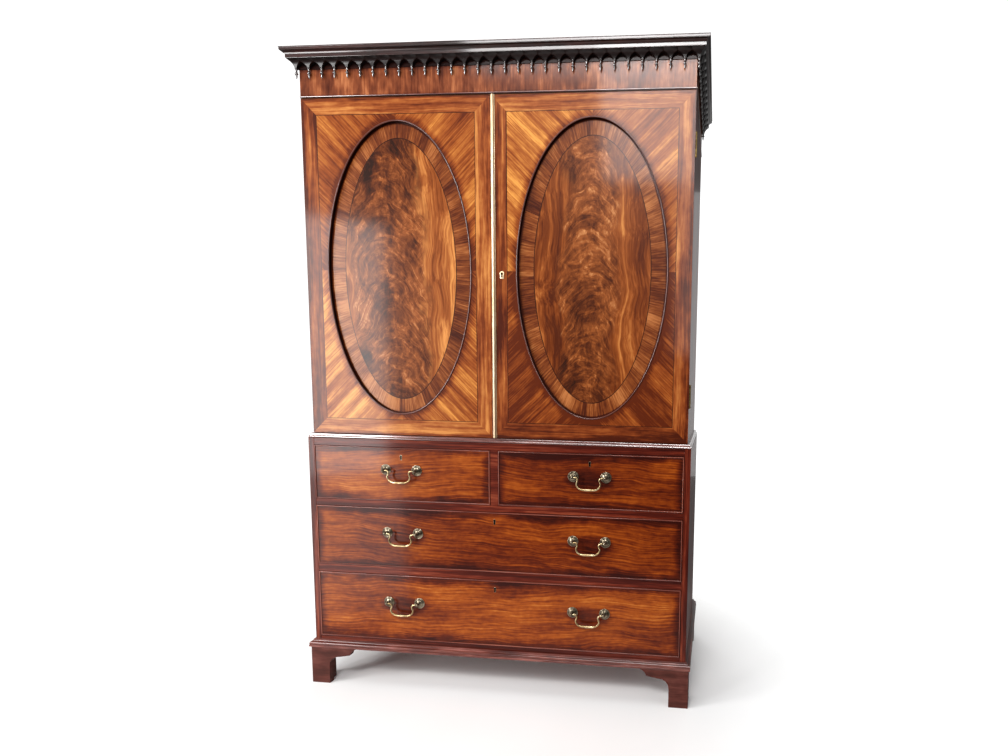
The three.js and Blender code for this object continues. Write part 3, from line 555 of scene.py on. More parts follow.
# the ovals' beads are polished by dusting along their tops; their reveals, the arch backs and the frieze's
# quirk are painted near black as the shade in them, and the crown's bare top takes the same wood
beadWood = variantOf("solid", "polishedBead", "34140d 4c231a 5c3026 7c4c3d",
                     shine=0.4, coat=0.7, coatRough=0.05)
revealWood = variantOf("solid", "blackenedReveal", "120504 1d0a07 260f0a 381910", shine=0.1, coat=0.1)
# the cockbeads are painted paler all over, as the light line along their tops
cockbeadWood = variantOf("solid", "wornCockbead", "45190f 6a3021 844635 ac705c",
                         shine=0.4, coat=0.8, coatRough=0.07)


# Crotch mahogany, cut where a limb forks: a mottled plume up the middle with faint arches and darker smudges
# in it, that falls away at the sides into upright golden ribbons. This is what the two doors' flames share
flame = {
    "drift": [(190, 80), (60, 34)], "driftDetail": 1.5, "steepness": 9.0, "fall": 0.7,
    "mottle": [((110, 110, 220), 2.0, 0.5, 0.4), ((36, 36, 52), 4.0, 0.42, 1.4), ((8, 8, 14), 3.0, 0.3, 0.8)],
    "arches": [((70, 120, 1), 2.0, 0.4), ((22, 60, 1), 3.0, 0.36), ((6, 36, 1), 2.0, 0.24)],
    "feathers": [((60, 110, 1), 0.16), ((30, 60, 1), 0.12)], "featherDetail": 2.5, "featherWidth": 0.05,
    "blots": (50, 50, 130), "blotDetail": 3.0, "blotRange": (0.5, 0.7),
    "sideLayers": [((9, 9, 420), 3.0, 0.7), ((36, 36, 600), 1.0, 0.7), ((3, 3, 60), 2.0, 0.3)],
    "seam": ((60, 60, 90), 2.0, 0.09),  # how the plume's edge wanders
    "plumeColours": shades("2b1206 4e230c 6f3a18 925429 c88c5a", (0.16, 0.34, 0.48, 0.62, 0.84)),
    "sideColours": shades("522208 743912 945324 d08d4e", (0.2, 0.38, 0.53, 0.78)),
}


def flameMaterial(name, centre, look):
    material, add = newMaterial(name)
    point = add("TexCoord", out="Object")
    place = ((look["offset"] - centre[0]) * mm, 0, -centre[1] * mm)
    bent = add("Mapping", {"Vector": point, "Location": place})
    gentle = None
    for size, push in look["drift"]:
        feeds = {"Vector": point, "Scale": 1 / (size * mm), "Detail": look["driftDetail"]}
        cloud = add("TexNoise", feeds, out=1)
        centred = add("VectorMath", [cloud, (0.5, 0.5, 0.5)], "SUBTRACT")
        small = add("VectorMath", {0: centred, "Scale": push * mm}, "SCALE")
        bent = add("VectorMath", [bent, small], "ADD")
        gentle = gentle or bent
    split = add("SeparateXYZ", {"Vector": bent}).node
    x, z = split.outputs["X"], split.outputs["Z"]
    spine = add("Math", [z, look["lean"], x], "MULTIPLY_ADD")
    square = add("Math", [spine, spine], "MULTIPLY")
    arch = add("Math", [square, look["steepness"], z], "MULTIPLY_ADD")
    along = add("CombineXYZ", {"X": arch, "Y": spine})
    # the plume: a broad mottle, soft arches, and feathers where a second noise passes its middle
    plume = add("Math", [z, look["rise"], look["heartTone"]], "MULTIPLY_ADD")
    ends = add("Math", [z, z], "MULTIPLY")
    plume = add("Math", [ends, -look["fall"], plume], "MULTIPLY_ADD")
    for sizes, detail, weight, swirl in look["mottle"]:
        plume, mottle = centredNoise(add, bent, sizes, detail, weight, plume, swirl)
    for layer in look["arches"]:
        plume, _ = centredNoise(add, along, *layer, plume)
    for sizes, lift in look["feathers"]:
        field = sizedNoise(add, along, sizes, {"Detail": look["featherDetail"]})
        away = add("Math", [field, 0.5], "SUBTRACT")
        size = add("Math", [away], "ABSOLUTE")
        fade = [size, 0.0, look["featherWidth"], lift, 0.0]
        crest = add("MapRange", fade, interpolation_type="SMOOTHSTEP")
        broken = add("Math", [crest, mottle], "MULTIPLY")
        plume = add("Math", [plume, broken], "ADD")
    shade = sizedNoise(add, bent, look["blots"], {"Detail": look["blotDetail"]})
    spread = [shade, *look["blotRange"], 0.0, look["blotDepth"]]
    dark = add("MapRange", spread, interpolation_type="SMOOTHSTEP")
    plume = add("Math", [plume, dark], "SUBTRACT")
    # the ribbons at the sides
    side = add("Math", [x, look["goldward"], look["sideTone"]], "MULTIPLY_ADD")
    for layer in look["sideLayers"]:
        side, streaks = centredNoise(add, gentle, *layer, side)
    reach = add("Math", [spine], "ABSOLUTE")
    edgeward, _ = centredNoise(add, point, *look["seam"], reach)
    near, far = [distance * mm for distance in look["plume"]]
    mask = add("MapRange", [edgeward, near, far], interpolation_type="SMOOTHSTEP")
    heart = add("ValToRGB", {"Fac": plume}, stops=look["plumeColours"])
    ribbon = add("ValToRGB", {"Fac": side}, stops=look["sideColours"])
    colour = add("Mix", {"Factor": mask, "A": heart, "B": ribbon}, out="Result", data_type="RGBA")
    frenchPolish(add, colour, streaks, look)
    return material


def stringingMaterial():
    # stringing: a hair line of blackened pear let in flush and polished over
    material, add = newMaterial("blackenedPear")
    point = add("TexCoord", out="Object")
    cloud = add("TexNoise", {"Vector": point, "Scale": 1 / (30 * mm), "Detail": 2.0})
    colour = add("ValToRGB", {"Fac": cloud}, stops=shades("1c0a05 3c1c0f", (0.35, 0.65)))
    frenchPolish(add, colour, cloud, {})
    return material


def brassMaterial(name, edge, cloudSize, patches, rough, colours):
    # cast and turned yellow brass: bright where hands and dusters rub it, brown in its hollows
    material, add = newMaterial(name)
    point = add("TexCoord", out="Object")
    cloud = add("TexNoise", {"Vector": point, "Scale": 1 / (cloudSize * mm), "Detail": 3.0})
    hollow = add("NewGeometry", out="Pointiness")
    worn = add("Math", [hollow, edge, 0.5 - 0.5 * edge], "MULTIPLY_ADD")
    centred = add("Math", [cloud, 0.5], "SUBTRACT")
    value = add("Math", [centred, patches, worn], "MULTIPLY_ADD")
    colour = add("ValToRGB", {"Fac": value}, stops=colours)
    rough = add("MapRange", [value, 0.3, 0.7, *rough])
    shader = add("BsdfPrincipled", {"Base Color": colour, "Roughness": rough, "Metallic": 1.0})
    add("OutputMaterial", {"Surface": shader})
    return material


stringing = stringingMaterial()
# for each brass: how far worn edges brighten, the size of its clouds in mm, their depth, its roughness
# in hollows and on edges, and its colours
stripBrass = brassMaterial("drawnBrassStrip", 0.3, 160, 0.7, (0.5, 0.4),
                           shades("b69a76 dcc6a6 f2e4ce", (0.3, 0.5, 0.7)))
bailBrass = brassMaterial("castBrassBail", 1.0, 16, 0.6, (0.4, 0.24),
                          shades("78644a b39d76 ecdfb8", (0.3, 0.5, 0.7)))
rosetteBrass = brassMaterial("tarnishedBrassRosette", 3.0, 20, 0.5, (0.38, 0.28),
                             shades("362f27 6a6051 b4aa96", (0.3, 0.5, 0.72)))
hingeBrass = brassMaterial("dullBrassHinge", 2.0, 12, 0.8, (0.5, 0.34),
                           shades("5b4728 94794a c4aa74", (0.3, 0.5, 0.7)))
print("finishes made")


# Doors: a striped border mitred at the corners, a stringing line, four quartered leaves round the
# oval, the oval's bead and its reveal down to the panel

door = {
    "thickness": 22.0, "bottom": 880.0, "top": 1955.5, "outer": 636.0, "leftEdge": -8.0, "rightEdge": -6.5,
    "border": 50.0, "line": 1.8, "quarterAngle": 44.0,
    "oval": (245.0, 469.0), "beadWidth": 5.0, "beadProud": 2.5, "reveal": 9.0, "seat": (248.0, 472.0),
    "keyhole": (27.0, 1405.75), "keyRoom": 1.5,
    "hingeLevels": (1030.0, 1805.5), "hingeLength": 76.0, "hingeAxis": (637.0, 22.75),
    "knuckle": 4.0, "arris": 0.3, "pinHole": 2.05, "knuckleGap": 0.4,
    "toneJitter": 0.02, "slip": 3000,
    # tones that the photograph shows leaf by leaf, on the left door (-1) and the right: stiles from the
    # bottom rail and quarters from the bottom left, both anticlockwise. They are the leaves' own tones, save
    # the right door's darker lower leaves, which are partly painted shade
    "stileTones": {-1: (0.05, 0.03, 0.0, -0.12), 1: (-0.16, -0.02, 0.04, -0.12)},
    "quarterTones": {-1: (0.05, -0.02, -0.02, -0.11), 1: (-0.22, -0.2, -0.02, 0.05)},
}


def ovalStep(grow):
    return (door["oval"][0] + grow, door["oval"][1] + grow)


def makeDoor(name, side, seed):
    draw, shell = random.Random(seed), newShell()
    face, jitter, slip = press["doorFace"], door["toneJitter"], door["slip"]
    rear = face + door["thickness"]
    front = onFront(face)
    edges = (-door["outer"], door["leftEdge"]) if side < 0 else (door["rightEdge"], door["outer"])
    outer = (*edges, door["bottom"], door["top"])
    centre = (side * press["ovalAcross"], press["ovalLevel"])
    inset = [rectangle(*outer, d) for d in (0, door["border"], door["border"] + door["line"])]
    keyholes = [keyholeLoop(*door["keyhole"], door["keyRoom"])] if side > 0 else []
    for i in range(4):  # bottom rail, right stile, top rail, left stile
        j = (i + 1) % 4
        loops = [[inset[0][i], inset[0][j], inset[1][j], inset[1][i]], *(keyholes if i == 3 else [])]
        tone = draw.uniform(-jitter, jitter) + door["stileTones"][side][i]
        layLeaf(shell, loops, front, 90 * (i % 2), 0, tone, (draw.uniform(0, slip), 0))
    corners = inset[2]
    middles = [(centre[0], corners[0][1]), (corners[1][0], centre[1]),
               (centre[0], corners[2][1]), (corners[0][0], centre[1])]
    ring = [point for i in range(4) for point in (corners[i], middles[i])]
    layLeaf(shell, [inset[1], ring], front, 0, 1)
    for i in range(4):  # bottom left, bottom right, top right, top left
        start = (180, 270, 0, 90)[i]
        arc = ovalArc(centre, ovalStep(0), start, start + 90)
        leaf = [middles[i - 1], corners[i], middles[i]] + arc[::-1]
        lean = door["quarterAngle"] * (1, -1, 1, -1)[i]
        tone = draw.uniform(-jitter, jitter) + door["quarterTones"][side][i]
        layLeaf(shell, [leaf], front, lean, 2, tone, (draw.uniform(0, slip), 0))
    width, deep = door["beadWidth"], face + door["reveal"]
    bead = curvePoints((width / 2, 0), (width / 2, door["beadProud"]), 180, 0, 8)
    rings = [lifted(ovalArc(centre, ovalStep(-inward)), face - rise) for inward, rise in bead]
    layBand(shell, rings, 3)
    mouth, seat = ovalArc(centre, ovalStep(-width)), ovalArc(centre, door["seat"])
    # the reveal down to the panel is painted near black, as the shade inside it
    layBand(shell, [rings[-1], lifted(mouth, deep)], 5)
    layBand(shell, [lifted(mouth, deep), lifted(seat, deep), lifted(seat, rear)], 5)
    layLeaf(shell, [inset[0], seat, *keyholes], onFront(rear), 90, 4)
    for loop in (inset[0], *keyholes):
        layWall(shell, loop, face, rear, 4)
    band = woodMaterial("stripedBanding_" + name, lookOf["banding"], None, middleAndHalves(*outer))
    quarter = woodMaterial("quarteredVeneer_" + name, lookOf["quartered"], ovals=[(centre, door["oval"])])
    board = closeShell(shell, name + "_board", [band, stringing, quarter, beadWood, solidZ, revealWood])
    settle(joinAs(name, [board, *doorKnuckles(side)]), name, "mahogany", name + "_frame")


def doorKnuckles(side):
    # the door's two knuckles of each hinge, bored for the pin
    x, y = side * door["hingeAxis"][0], press["doorFace"] + door["hingeAxis"][1]
    third, gap, parts = door["hingeLength"] / 3, door["knuckleGap"] / 2, []
    radius, arris, hole = door["knuckle"], door["arris"], door["pinHole"]
    section = [(hole, gap), (radius - arris, gap), (radius, gap + arris), (radius, third - gap - arris),
               (radius - arris, third - gap), (hole, third - gap), (hole, gap)]
    for level in door["hingeLevels"]:
        for i in (0, 2):
            low = level - door["hingeLength"] / 2 + i * third
            rings = [[(x + px, y + py, low + pz) for px, py, pz in ring] for ring in latheRings(section, 24)]
            parts.append(skinned("knuckle", rings, [hingeBrass]))
    return parts


makeDoor("left_door", -1, 11)
makeDoor("right_door", 1, 23)
print("doors made")


# Oval panels: a crossbanded ring in short leaves, a line, and the flame veneer inside it

panel = {
    "front": 9.3, "thickness": 10.0, "rim": (247.7, 471.7), "ring": (190.2, 417.2), "line": 2.4,
    "leaves": 30, "cutJitter": 0.3, "slip": (150, 400), "toneRange": 0.08, "innerShade": {-1: -0.1, 1: -0.02},
    # plume: where it gives way to ribbons, in mm from its spine
    "flames": {
        -1: {"offset": 44, "lean": 0.05, "plume": (112, 146), "rise": -0.06, "heartTone": 0.47,
             "sideTone": 0.48, "goldward": 0.5, "blotDepth": 0.2},
        1: {"offset": 6, "lean": -0.02, "plume": (62, 104), "rise": 0.12, "heartTone": 0.51,
            "sideTone": 0.37, "goldward": 0.2, "blotDepth": 0.16},
    },
}


def makePanel(name, side, seed):
    draw, shell = random.Random(seed), newShell()
    face, leaves, steps = press["doorFace"] + panel["front"], panel["leaves"], press["ovalSteps"]
    rear = face + panel["thickness"]
    centre = (side * press["ovalAcross"], press["ovalLevel"])
    cuts = [i + draw.uniform(-panel["cutJitter"], panel["cutJitter"]) for i in range(leaves)]
    cuts = [round(c * steps / leaves) * 360 / steps for c in cuts]
    run = 0.0
    for a, b in zip(cuts, cuts[1:] + [cuts[0] + 360]):
        arcs = [lifted(ovalArc(centre, panel[edge], a, b), face) for edge in ("rim", "ring")]
        run += draw.uniform(*panel["slip"])
        tone = draw.uniform(-panel["toneRange"], panel["toneRange"])
        tone -= side * panel["innerShade"][side] * math.cos(math.radians(a))
        layBand(shell, arcs, 0, tone, True, False, run)
    inner = tuple(axis - panel["line"] for axis in panel["ring"])
    layBand(shell, [lifted(ovalArc(centre, axes), face) for axes in (panel["ring"], inner)], 1)
    layLeaf(shell, [ovalArc(centre, inner)], onFront(face), 90, 2)
    rim = ovalArc(centre, panel["rim"])
    layWall(shell, rim, face, rear, 3)
    layLeaf(shell, [rim], onFront(rear), 90, 3)
    veneer = flameMaterial("flameMahogany_" + name, centre, {**flame, **panel["flames"][side]})
    rim = (centre, ovalStep(-door["beadWidth"]))
    cross = woodMaterial("crossbanding_" + name, lookOf["crossband"], rim=rim)
    piece = closeShell(shell, name, [cross, stringing, veneer, solidZ])
    settle(piece, name.replace("_panel", ""), "flame_mahogany", name.replace("panel", "oval_panel"))


makePanel("left_door_panel", -1, 5)
makePanel("right_door_panel", 1, 6)
print("panels made")


# The meeting strip: drawn brass with a half round between two fillets

strip = {
    "half": 6.5, "foot": 0.3, "fillet": 1.6, "arris": 0.3, "proud": 6.5, "line": 0.5, "quirk": 0.4,
    "bottom": 880.3, "top": 1955.2,
}


def makeStrip():
    wide, fillet, arris = strip["half"], strip["fillet"], strip["arris"]
    belly, foot = wide - fillet, -fillet - strip["line"]
    half = [(wide, -strip["foot"]), (wide, -fillet + arris), (wide - arris, -fillet), (belly, -fillet),
            *curvePoints((0, foot), (belly - strip["quirk"], strip["proud"] + foot), 0, -90, 12)]
    section = half + [(-u, v) for u, v in half[-2::-1]]
    rings = [[(u, press["doorFace"] + v, z) for u, v in section] for z in (strip["bottom"], strip["top"])]
    piece = skinned("brass_meeting_strip", rings, [stripBrass], 40, True)
    settle(piece, "right_door", "brass", "meeting_strip")


makeStrip()


# The lock: escutcheon with a rounded rim, the sleeve through the stile and the case behind it

lock = {
    "rim": 4.5, "thickness": 1.2, "seam": 0.3, "sleeve": 1.2,
    "case": (6.0, 48.0), "caseHeight": 64.0, "caseDepth": 12.0,
}


def makeLock():
    at, shell, rim, thick = door["keyhole"], newShell(), lock["rim"], lock["thickness"]
    face = press["doorFace"] - lock["seam"]
    back = press["doorFace"] + door["thickness"] + lock["seam"]
    rear, deep = back + lock["caseDepth"], back + lock["caseDepth"] / 2
    edge = [(rim, 0.0), (rim, -0.6), (rim - 0.4, -1.0), (rim - 1.0, -thick), (1.3, -thick),
            (0.9, -thick - 0.25), (0.4, -thick - 0.25), (0.0, -thick + 0.2)]
    layBand(shell, keyholeRings(at, [(grow, face + rise) for grow, rise in edge] + [(0.0, deep)]))
    layBand(shell, keyholeRings(at, [(rim, face), (lock["sleeve"], face), (lock["sleeve"], back)]))
    box = rectangle(*lock["case"], at[1] - lock["caseHeight"] / 2, at[1] + lock["caseHeight"] / 2)
    layLeaf(shell, [box, keyholeLoop(*at, lock["sleeve"])], onFront(back))
    layWall(shell, box, back, rear)
    layLeaf(shell, [box], onFront(rear))
    layLeaf(shell, [keyholeLoop(*at)], onFront(deep))
    settle(closeShell(shell, "lock_and_escutcheon", [stripBrass]), "right_door", "brass", "door_lock")


makeLock()
print("strip and lock made")


# Drawer fronts: one leaf of veneer inside a mitred cockbead, with a brass thread in the keyhole

drawerFront = {
    "thickness": 20.0, "gap": 1.2, "bead": 3.5, "proud": 2.5, "beadFoot": 0.8, "slip": 3000,
    "keyDrop": 34.0, "thread": 0.9,
    # tone and lean of the grain, in degrees, that the photograph shows
    "leaf": {"short_left": (0.06, 3.0), "short_right": (-0.06, -2.0),
             "middle": (-0.03, -3.0), "bottom": (0.02, 2.0)},
}
# handles: how far from the middle, how high as a share of the front, and the darkening round them: a smear
# from hands with the handles' painted shadow below
handleAt = {"across": 320.5, "share": 0.585, "smudge": (62.0, 16.0), "smudgeDrop": 13.0}
# each drawer's opening across and up, its handles and its seed
openingHalf, dividerHalf = 628.0, 13.0
wholeWidth, shortLevels = (-openingHalf, openingHalf), (655.518, 839.0)
drawers = {
    "short_left": ((-openingHalf, -dividerHalf), shortLevels, ["short_left"], 31),
    "short_right": ((dividerHalf, openingHalf), shortLevels, ["short_right"], 32),
    "middle": (wholeWidth, (427.012, 633.018), ["middle_left", "middle_right"], 33),
    "bottom": (wholeWidth, (169.0, 400.012), ["bottom_left", "bottom_right"], 34),
}


def handleLevel(levels):
    return levels[0] + handleAt["share"] * (levels[1] - levels[0])


def makeDrawerFront(name, width, levels, seed):
    draw, shell, face = random.Random(seed), newShell(), press["chestFace"]
    gap, bead, foot = drawerFront["gap"], drawerFront["bead"], drawerFront["beadFoot"]
    rear = face + drawerFront["thickness"]
    edges = x0, x1, z0, z1 = width[0] + gap, width[1] - gap, levels[0] + gap, levels[1] - gap
    outer = rectangle(*edges)
    keyAt = ((x0 + x1) / 2, levels[1] - drawerFront["keyDrop"])
    hole = keyholeLoop(*keyAt, drawerFront["thread"])
    tone, lean = drawerFront["leaf"][name]
    slip = (draw.uniform(0, drawerFront["slip"]), 0)
    layLeaf(shell, [rectangle(*edges, bead), hole], onFront(face), lean, 0, tone, slip)
    curve = curvePoints((0, foot), (bead / 2, drawerFront["proud"] - foot), 0, 180, 8)
    section = [(0.0, 0.0)] + [(bead / 2 - u, -v) for u, v in curve] + [(bead, 0.0)]
    layBand(shell, [lifted(rectangle(*edges, d), face + rise) for d, rise in section], 1)
    for loop in (outer, hole):
        layWall(shell, loop, face, rear, 2)
    layLeaf(shell, [outer, hole], onFront(rear), 0, 2)
    # the veneer darkens round each handle, a smear from hands with a painted shadow below the bail
    level, across = handleLevel(levels) - handleAt["smudgeDrop"], handleAt["across"]
    smudges = [((x, level), handleAt["smudge"]) for x in (-across, across) if x0 < x < x1]
    veneer = woodMaterial("drawerVeneer_" + name, lookOf["drawer"], None, middleAndHalves(*edges), smudges)
    piece = closeShell(shell, name + "_front", [veneer, cockbeadWood, solidX])
    settle(piece, name + "_drawer", "flame_mahogany", name + "_drawer_front")
    makeKeyThread(name, keyAt, face, rear)


def makeKeyThread(name, keyAt, face, rear):
    shell, wide = newShell(), drawerFront["thread"]
    layBand(shell, keyholeRings(keyAt, [(wide, face), (wide, face - 0.5), (wide - 0.25, face - 0.7),
                                        (0.2, face - 0.7), (0.0, face - 0.5), (0.0, rear)]))
    layBand(shell, keyholeRings(keyAt, [(0.0, rear), (wide, rear), (wide, face)]))
    settle(closeShell(shell, name + "_key_thread", [rosetteBrass]), name + "_drawer", "brass")


for drawerName, (width, levels, _, seed) in drawers.items():
    makeDrawerFront(drawerName, width, levels, seed)
print("drawer fronts made")


# Handles: two turned posts on ringed rosettes and a swan-necked bail between them

handle = {
    "spacing": 108.0, "foot": -257.55, "axis": -275.25, "arris": 0.3,
    "rosette": 18.0, "standOff": 17.7, "ball": 5.5, "drop": 40.0, "wire": 2.7, "grip": 4.1, "pin": 1.7,
    "gripReach": 0.3,  # how far from the middle the grip tapers to the wire, as a share of the bail's length
    "turnedSides": 40, "bailSides": 16, "bailSteps": 12,
}
# the rosette from its rim in to the neck, as shares of its radius and of the stand-off
rosetteShares = [
    (0.0, 0.0), (0.985, 0.0), (1.0, 0.02), (1.0, 0.05), (0.975, 0.075), (0.93, 0.08), (0.9, 0.065),
    (0.87, 0.085), (0.82, 0.15), (0.79, 0.165), (0.75, 0.16), (0.725, 0.145), (0.7, 0.165), (0.66, 0.235),
    (0.58, 0.3), (0.46, 0.355), (0.35, 0.385), (0.27, 0.395), (0.24, 0.42), (0.25, 0.45), (0.235, 0.48),
    (0.19, 0.51), (0.165, 0.58), (0.165, 0.66), (0.19, 0.7),
]
# half of the bail's centre line: across as shares of half the spacing, down of the drop
bailShares = [
    (0.8, 0.0), (0.71, 0.05), (0.655, 0.19), (0.69, 0.35), (0.725, 0.5), (0.705, 0.66), (0.61, 0.85),
    (0.43, 0.97), (0.2, 1.0),
]


def turnedPost():
    # the post on its side, its foot at the origin and its ball towards -Y
    sides = handle["turnedSides"]
    profile = [(r * handle["rosette"], d * handle["standOff"]) for r, d in rosetteShares]
    profile += curvePoints((0, handle["standOff"]), (handle["ball"], handle["ball"]), -52, 90, 14)
    rings = [[(x, -h, z) for x, z, h in ring] for ring in latheRings(profile, sides)]
    rings[0], rings[-1] = [(0.0, 0.0, 0.0)] * sides, [(0.0, rings[-1][0][1], 0.0)] * sides
    return skinned("turnedPost", rings, [rosetteBrass], 50)


def rowTree(name, material):
    # sets copies of one object along a row: Start, Step and Count place them and Turn faces them
    tree = bpy.data.node_groups.new(name, "GeometryNodeTree")
    add, sockets, inputs = partial(addNode, tree), tree.interface, {}
    for title, kind in (("Item", "Object"), ("Count", "Int"), ("Start", "Vector"), ("Step", "Vector"),
                        ("Turn", "Vector")):
        socket = sockets.new_socket(title, in_out="INPUT", socket_type="NodeSocket" + kind)
        inputs[title] = socket.identifier
    sockets.new_socket("Geometry", in_out="OUTPUT", socket_type="NodeSocketGeometry")
    source = add("NodeGroupInput").node.outputs
    item = add("GeometryNodeObjectInfo", {"Object": source["Item"]}, out="Geometry")
    row = add("GeometryNodeMeshLine", {
        "Count": source["Count"], "Start Location": source["Start"], "Offset": source["Step"]})
    turn = add("FunctionNodeEulerToRotation", {"Euler": source["Turn"]})
    copies = add("GeometryNodeInstanceOnPoints", {"Points": row, "Instance": item, "Rotation": turn})
    whole = add("GeometryNodeRealizeInstances", {"Geometry": copies})
    coated = add("GeometryNodeSetMaterial", {"Geometry": whole, "Material": material})
    add("NodeGroupOutput", {"Geometry": coated})
    return tree, inputs


def repeated(row, item, count, start, step, turn=(0, 0, 0)):
    # runs the row's tree and keeps its result as a plain mesh
    tree, inputs = row
    carrier = newObject("row", bpy.data.meshes.new("row"))
    modifier = carrier.modifiers.new("row", "NODES")
    modifier.node_group = tree
    values = {"Item": item, "Count": count, "Turn": turn,
              "Start": [c * mm for c in start], "Step": [c * mm for c in step]}
    for title, value in values.items():
        modifier[inputs[title]] = value
    bpy.context.view_layer.update()
    evaluated = carrier.evaluated_get(bpy.context.evaluated_depsgraph_get())
    mesh = bpy.data.meshes.new_from_object(evaluated)
    bpy.data.objects.remove(carrier)
    return newObject("row", mesh)


def bailRings():
    half, steps, sides = handle["spacing"] / 2, handle["bailSteps"], handle["bailSides"]
    ball, pin, wire, arris = handle["ball"], handle["pin"], handle["wire"], handle["arris"]
    line = [(u * half, -v * handle["drop"]) for u, v in bailShares]
    line += [(-x, z) for x, z in reversed(line)]
    points = [Vector(point) for point in (line[0], *line, line[-1])]
    dense = []  # a smooth curve through the points
    for i in range(1, len(points) - 2):
        a, b, c, d = points[i - 1:i + 3]
        for k in range(steps):
            t = k / steps
            dense.append(0.5 * (2 * b + (c - a) * t + (2 * a - 5 * b + 4 * c - d) * t * t
                                + (3 * b - a - 3 * c + d) * t ** 3))
    dense.append(points[-2])
    runs = [0.0]
    for a, b in zip(dense, dense[1:]):
        runs.append(runs[-1] + (b - a).length)
    shoulder = half - ball - arris
    path = [(Vector((x, 0)), radius) for x, radius in (
        (half + ball / 2, pin), (shoulder, pin), (shoulder, wire - arris), (shoulder - arris, wire))]
    for point, run in zip(dense, runs):
        spread = abs(run / runs[-1] - 0.5)
        swell = max(0.0, min(1.0, (handle["gripReach"] - spread) / handle["gripReach"]))
        swell = swell * swell * (3 - 2 * swell)
        path.append((point, wire + (handle["grip"] - wire) * swell))
    path += [(Vector((-point.x, point.y)), radius) for point, radius in reversed(path[:4])]
    turns, rings = [2 * math.pi * k / sides for k in range(sides)], []
    for i, (point, radius) in enumerate(path):
        ahead = (path[min(len(path) - 1, i + 1)][0] - path[max(0, i - 1)][0]).normalized()
        rings.append([(point.x - radius * math.cos(t) * ahead.y, radius * math.sin(t),
                       point.y + radius * math.cos(t) * ahead.x) for t in turns])
    return rings


def makeHandles():
    post, rings = turnedPost(), bailRings()
    postRow = rowTree("postRow", rosetteBrass)
    for drawerName, (_, levels, names, _) in drawers.items():
        level, rows = handleLevel(levels), []
        for name in names:
            x = handleAt["across"] * (-1 if name.endswith("left") else 1)
            start = (x - handle["spacing"] / 2, handle["foot"], level)
            rows.append(repeated(postRow, post, 2, start, (handle["spacing"], 0, 0)))
            placed = [[(x + px, handle["axis"] + py, level + pz) for px, py, pz in ring] for ring in rings]
            bail = skinned(name + "_bail_handle", placed, [bailBrass], 50, True)
            settle(bail, name + "_bail", "brass", name + "_handle_bail")
        posts = [f"{name}_handle_{side}_post" for name in names for side in ("left", "right")]
        settle(joinAs(drawerName + "_posts", rows), drawerName + "_drawer", "brass", *posts)
    bpy.data.objects.remove(post)


makeHandles()
print("handles made")


# Mouldings round the chest's foot and its waist

plinth = {"reach": 16.0, "base": 131.0, "height": 25.0, "arris": 0.4}
waist = {"reach": 12.3, "base": 864.3, "top": 878.5, "arris": 0.3, "tuck": 2.0, "rear": -222.05}


def makePlinth():
    r, b, h, arris = plinth["reach"], plinth["base"], plinth["height"], plinth["arris"]
    section = [(0, b), (r - arris, b), (r, b + arris), (r, b + 0.26 * h), (r - 0.8, b + 0.3 * h)]
    section += [(r - 2.4 + u, v) for u, v in curvePoints((0, b + 0.48 * h), (1.6, 0.16 * h), -80, 80, 5)]
    cove = curvePoints((0.42 * r, b + 0.86 * h), (-0.42 * r, -0.2 * h), 90, 0, 7)
    section += [(0.42 * r + u, v) for u, v in cove]
    section += [(0.36 * r, b + 0.88 * h), (0.36 * r, b + 0.95 * h), (0.28 * r, b + h), (0, b + h)]
    piece = moulded("plinth_mould", section, press["chestHalf"], press["chestFace"], [solidRun])
    settle(piece, "carcase", "mahogany", "plinth_moulding")


def makeWaist():
    r, b, t, arris = waist["reach"], waist["base"], waist["top"], waist["arris"]
    h, shell = t - b, newShell()
    nose = 0.24 * h
    section = [(0, b), (r - arris, b), *curvePoints((r - nose, b + nose), (nose, nose), -90, 90, 8),
               (0.7 * r, b + 0.5 * h), (0.66 * r, b + 0.56 * h), (0.66 * r, b + 0.8 * h),
               *curvePoints((0.4 * r, b + 0.8 * h), (0.26 * r, 0.2 * h), 0, 90, 5), (0, t)]
    returnedMoulding(shell, section, press["caseHalf"], press["doorFace"])
    # the board that carries it runs back under the doors
    half, front, rear = press["caseHalf"] + waist["tuck"], press["doorFace"] - waist["tuck"], waist["rear"]
    outline = rectangle(-half, half, b + arris, t - arris)
    layWall(shell, outline, front, rear)
    for y in (front, rear):
        layLeaf(shell, [outline], onFront(y))
    settle(closeShell(shell, "waist_mould", [handledRun]), "carcase", "mahogany", "waist_moulding")


makePlinth()
makeWaist()
print("mouldings made")


# Cornice: veneered frieze, cove of pointed arches with pendants, and the crown over them

cornice = {
    "base": 1957.3, "dust": 2090.0, "leafWidth": 118.0, "board": 20.0, "backBoard": 12.0, "hollowTop": 2078.0,
    "toneRange": 0.04, "slip": (2000, 400),
    "friezeBead": 6.0, "beadProud": 2.5, "beadTuck": 1.0, "beadFlat": 0.3, "beadSeam": 0.05,
    "quirk": 2.2, "quirkProud": 0.6,
    "coveBase": 2043.0, "coveTop": 2066.7, "crownTop": 2095.0, "crownBase": 2067.0, "reach": 39.5,
    "bays": 30, "sideBays": 12, "rib": 8.5, "ribArris": 1.1, "rise": 17.76, "archBack": 2.0, "seam": 0.3,
    "pendantOut": 5.8, "pendantRadius": 5.4, "pendantLength": 31.0,
}
cornice["pitch"] = (2 * press["caseHalf"] + 2 * cornice["pendantOut"]) / cornice["bays"]
# the cove, as shares of the height and of the reach, and where the arches' points stand in its height
coveShares = [(0.0, 0.23), (0.08, 0.235), (0.2, 0.25), (0.35, 0.275), (0.5, 0.315), (0.62, 0.36),
              (0.749, 0.43), (0.87, 0.52), (0.95, 0.59), (1.0, 0.63)]
archShare = 0.749
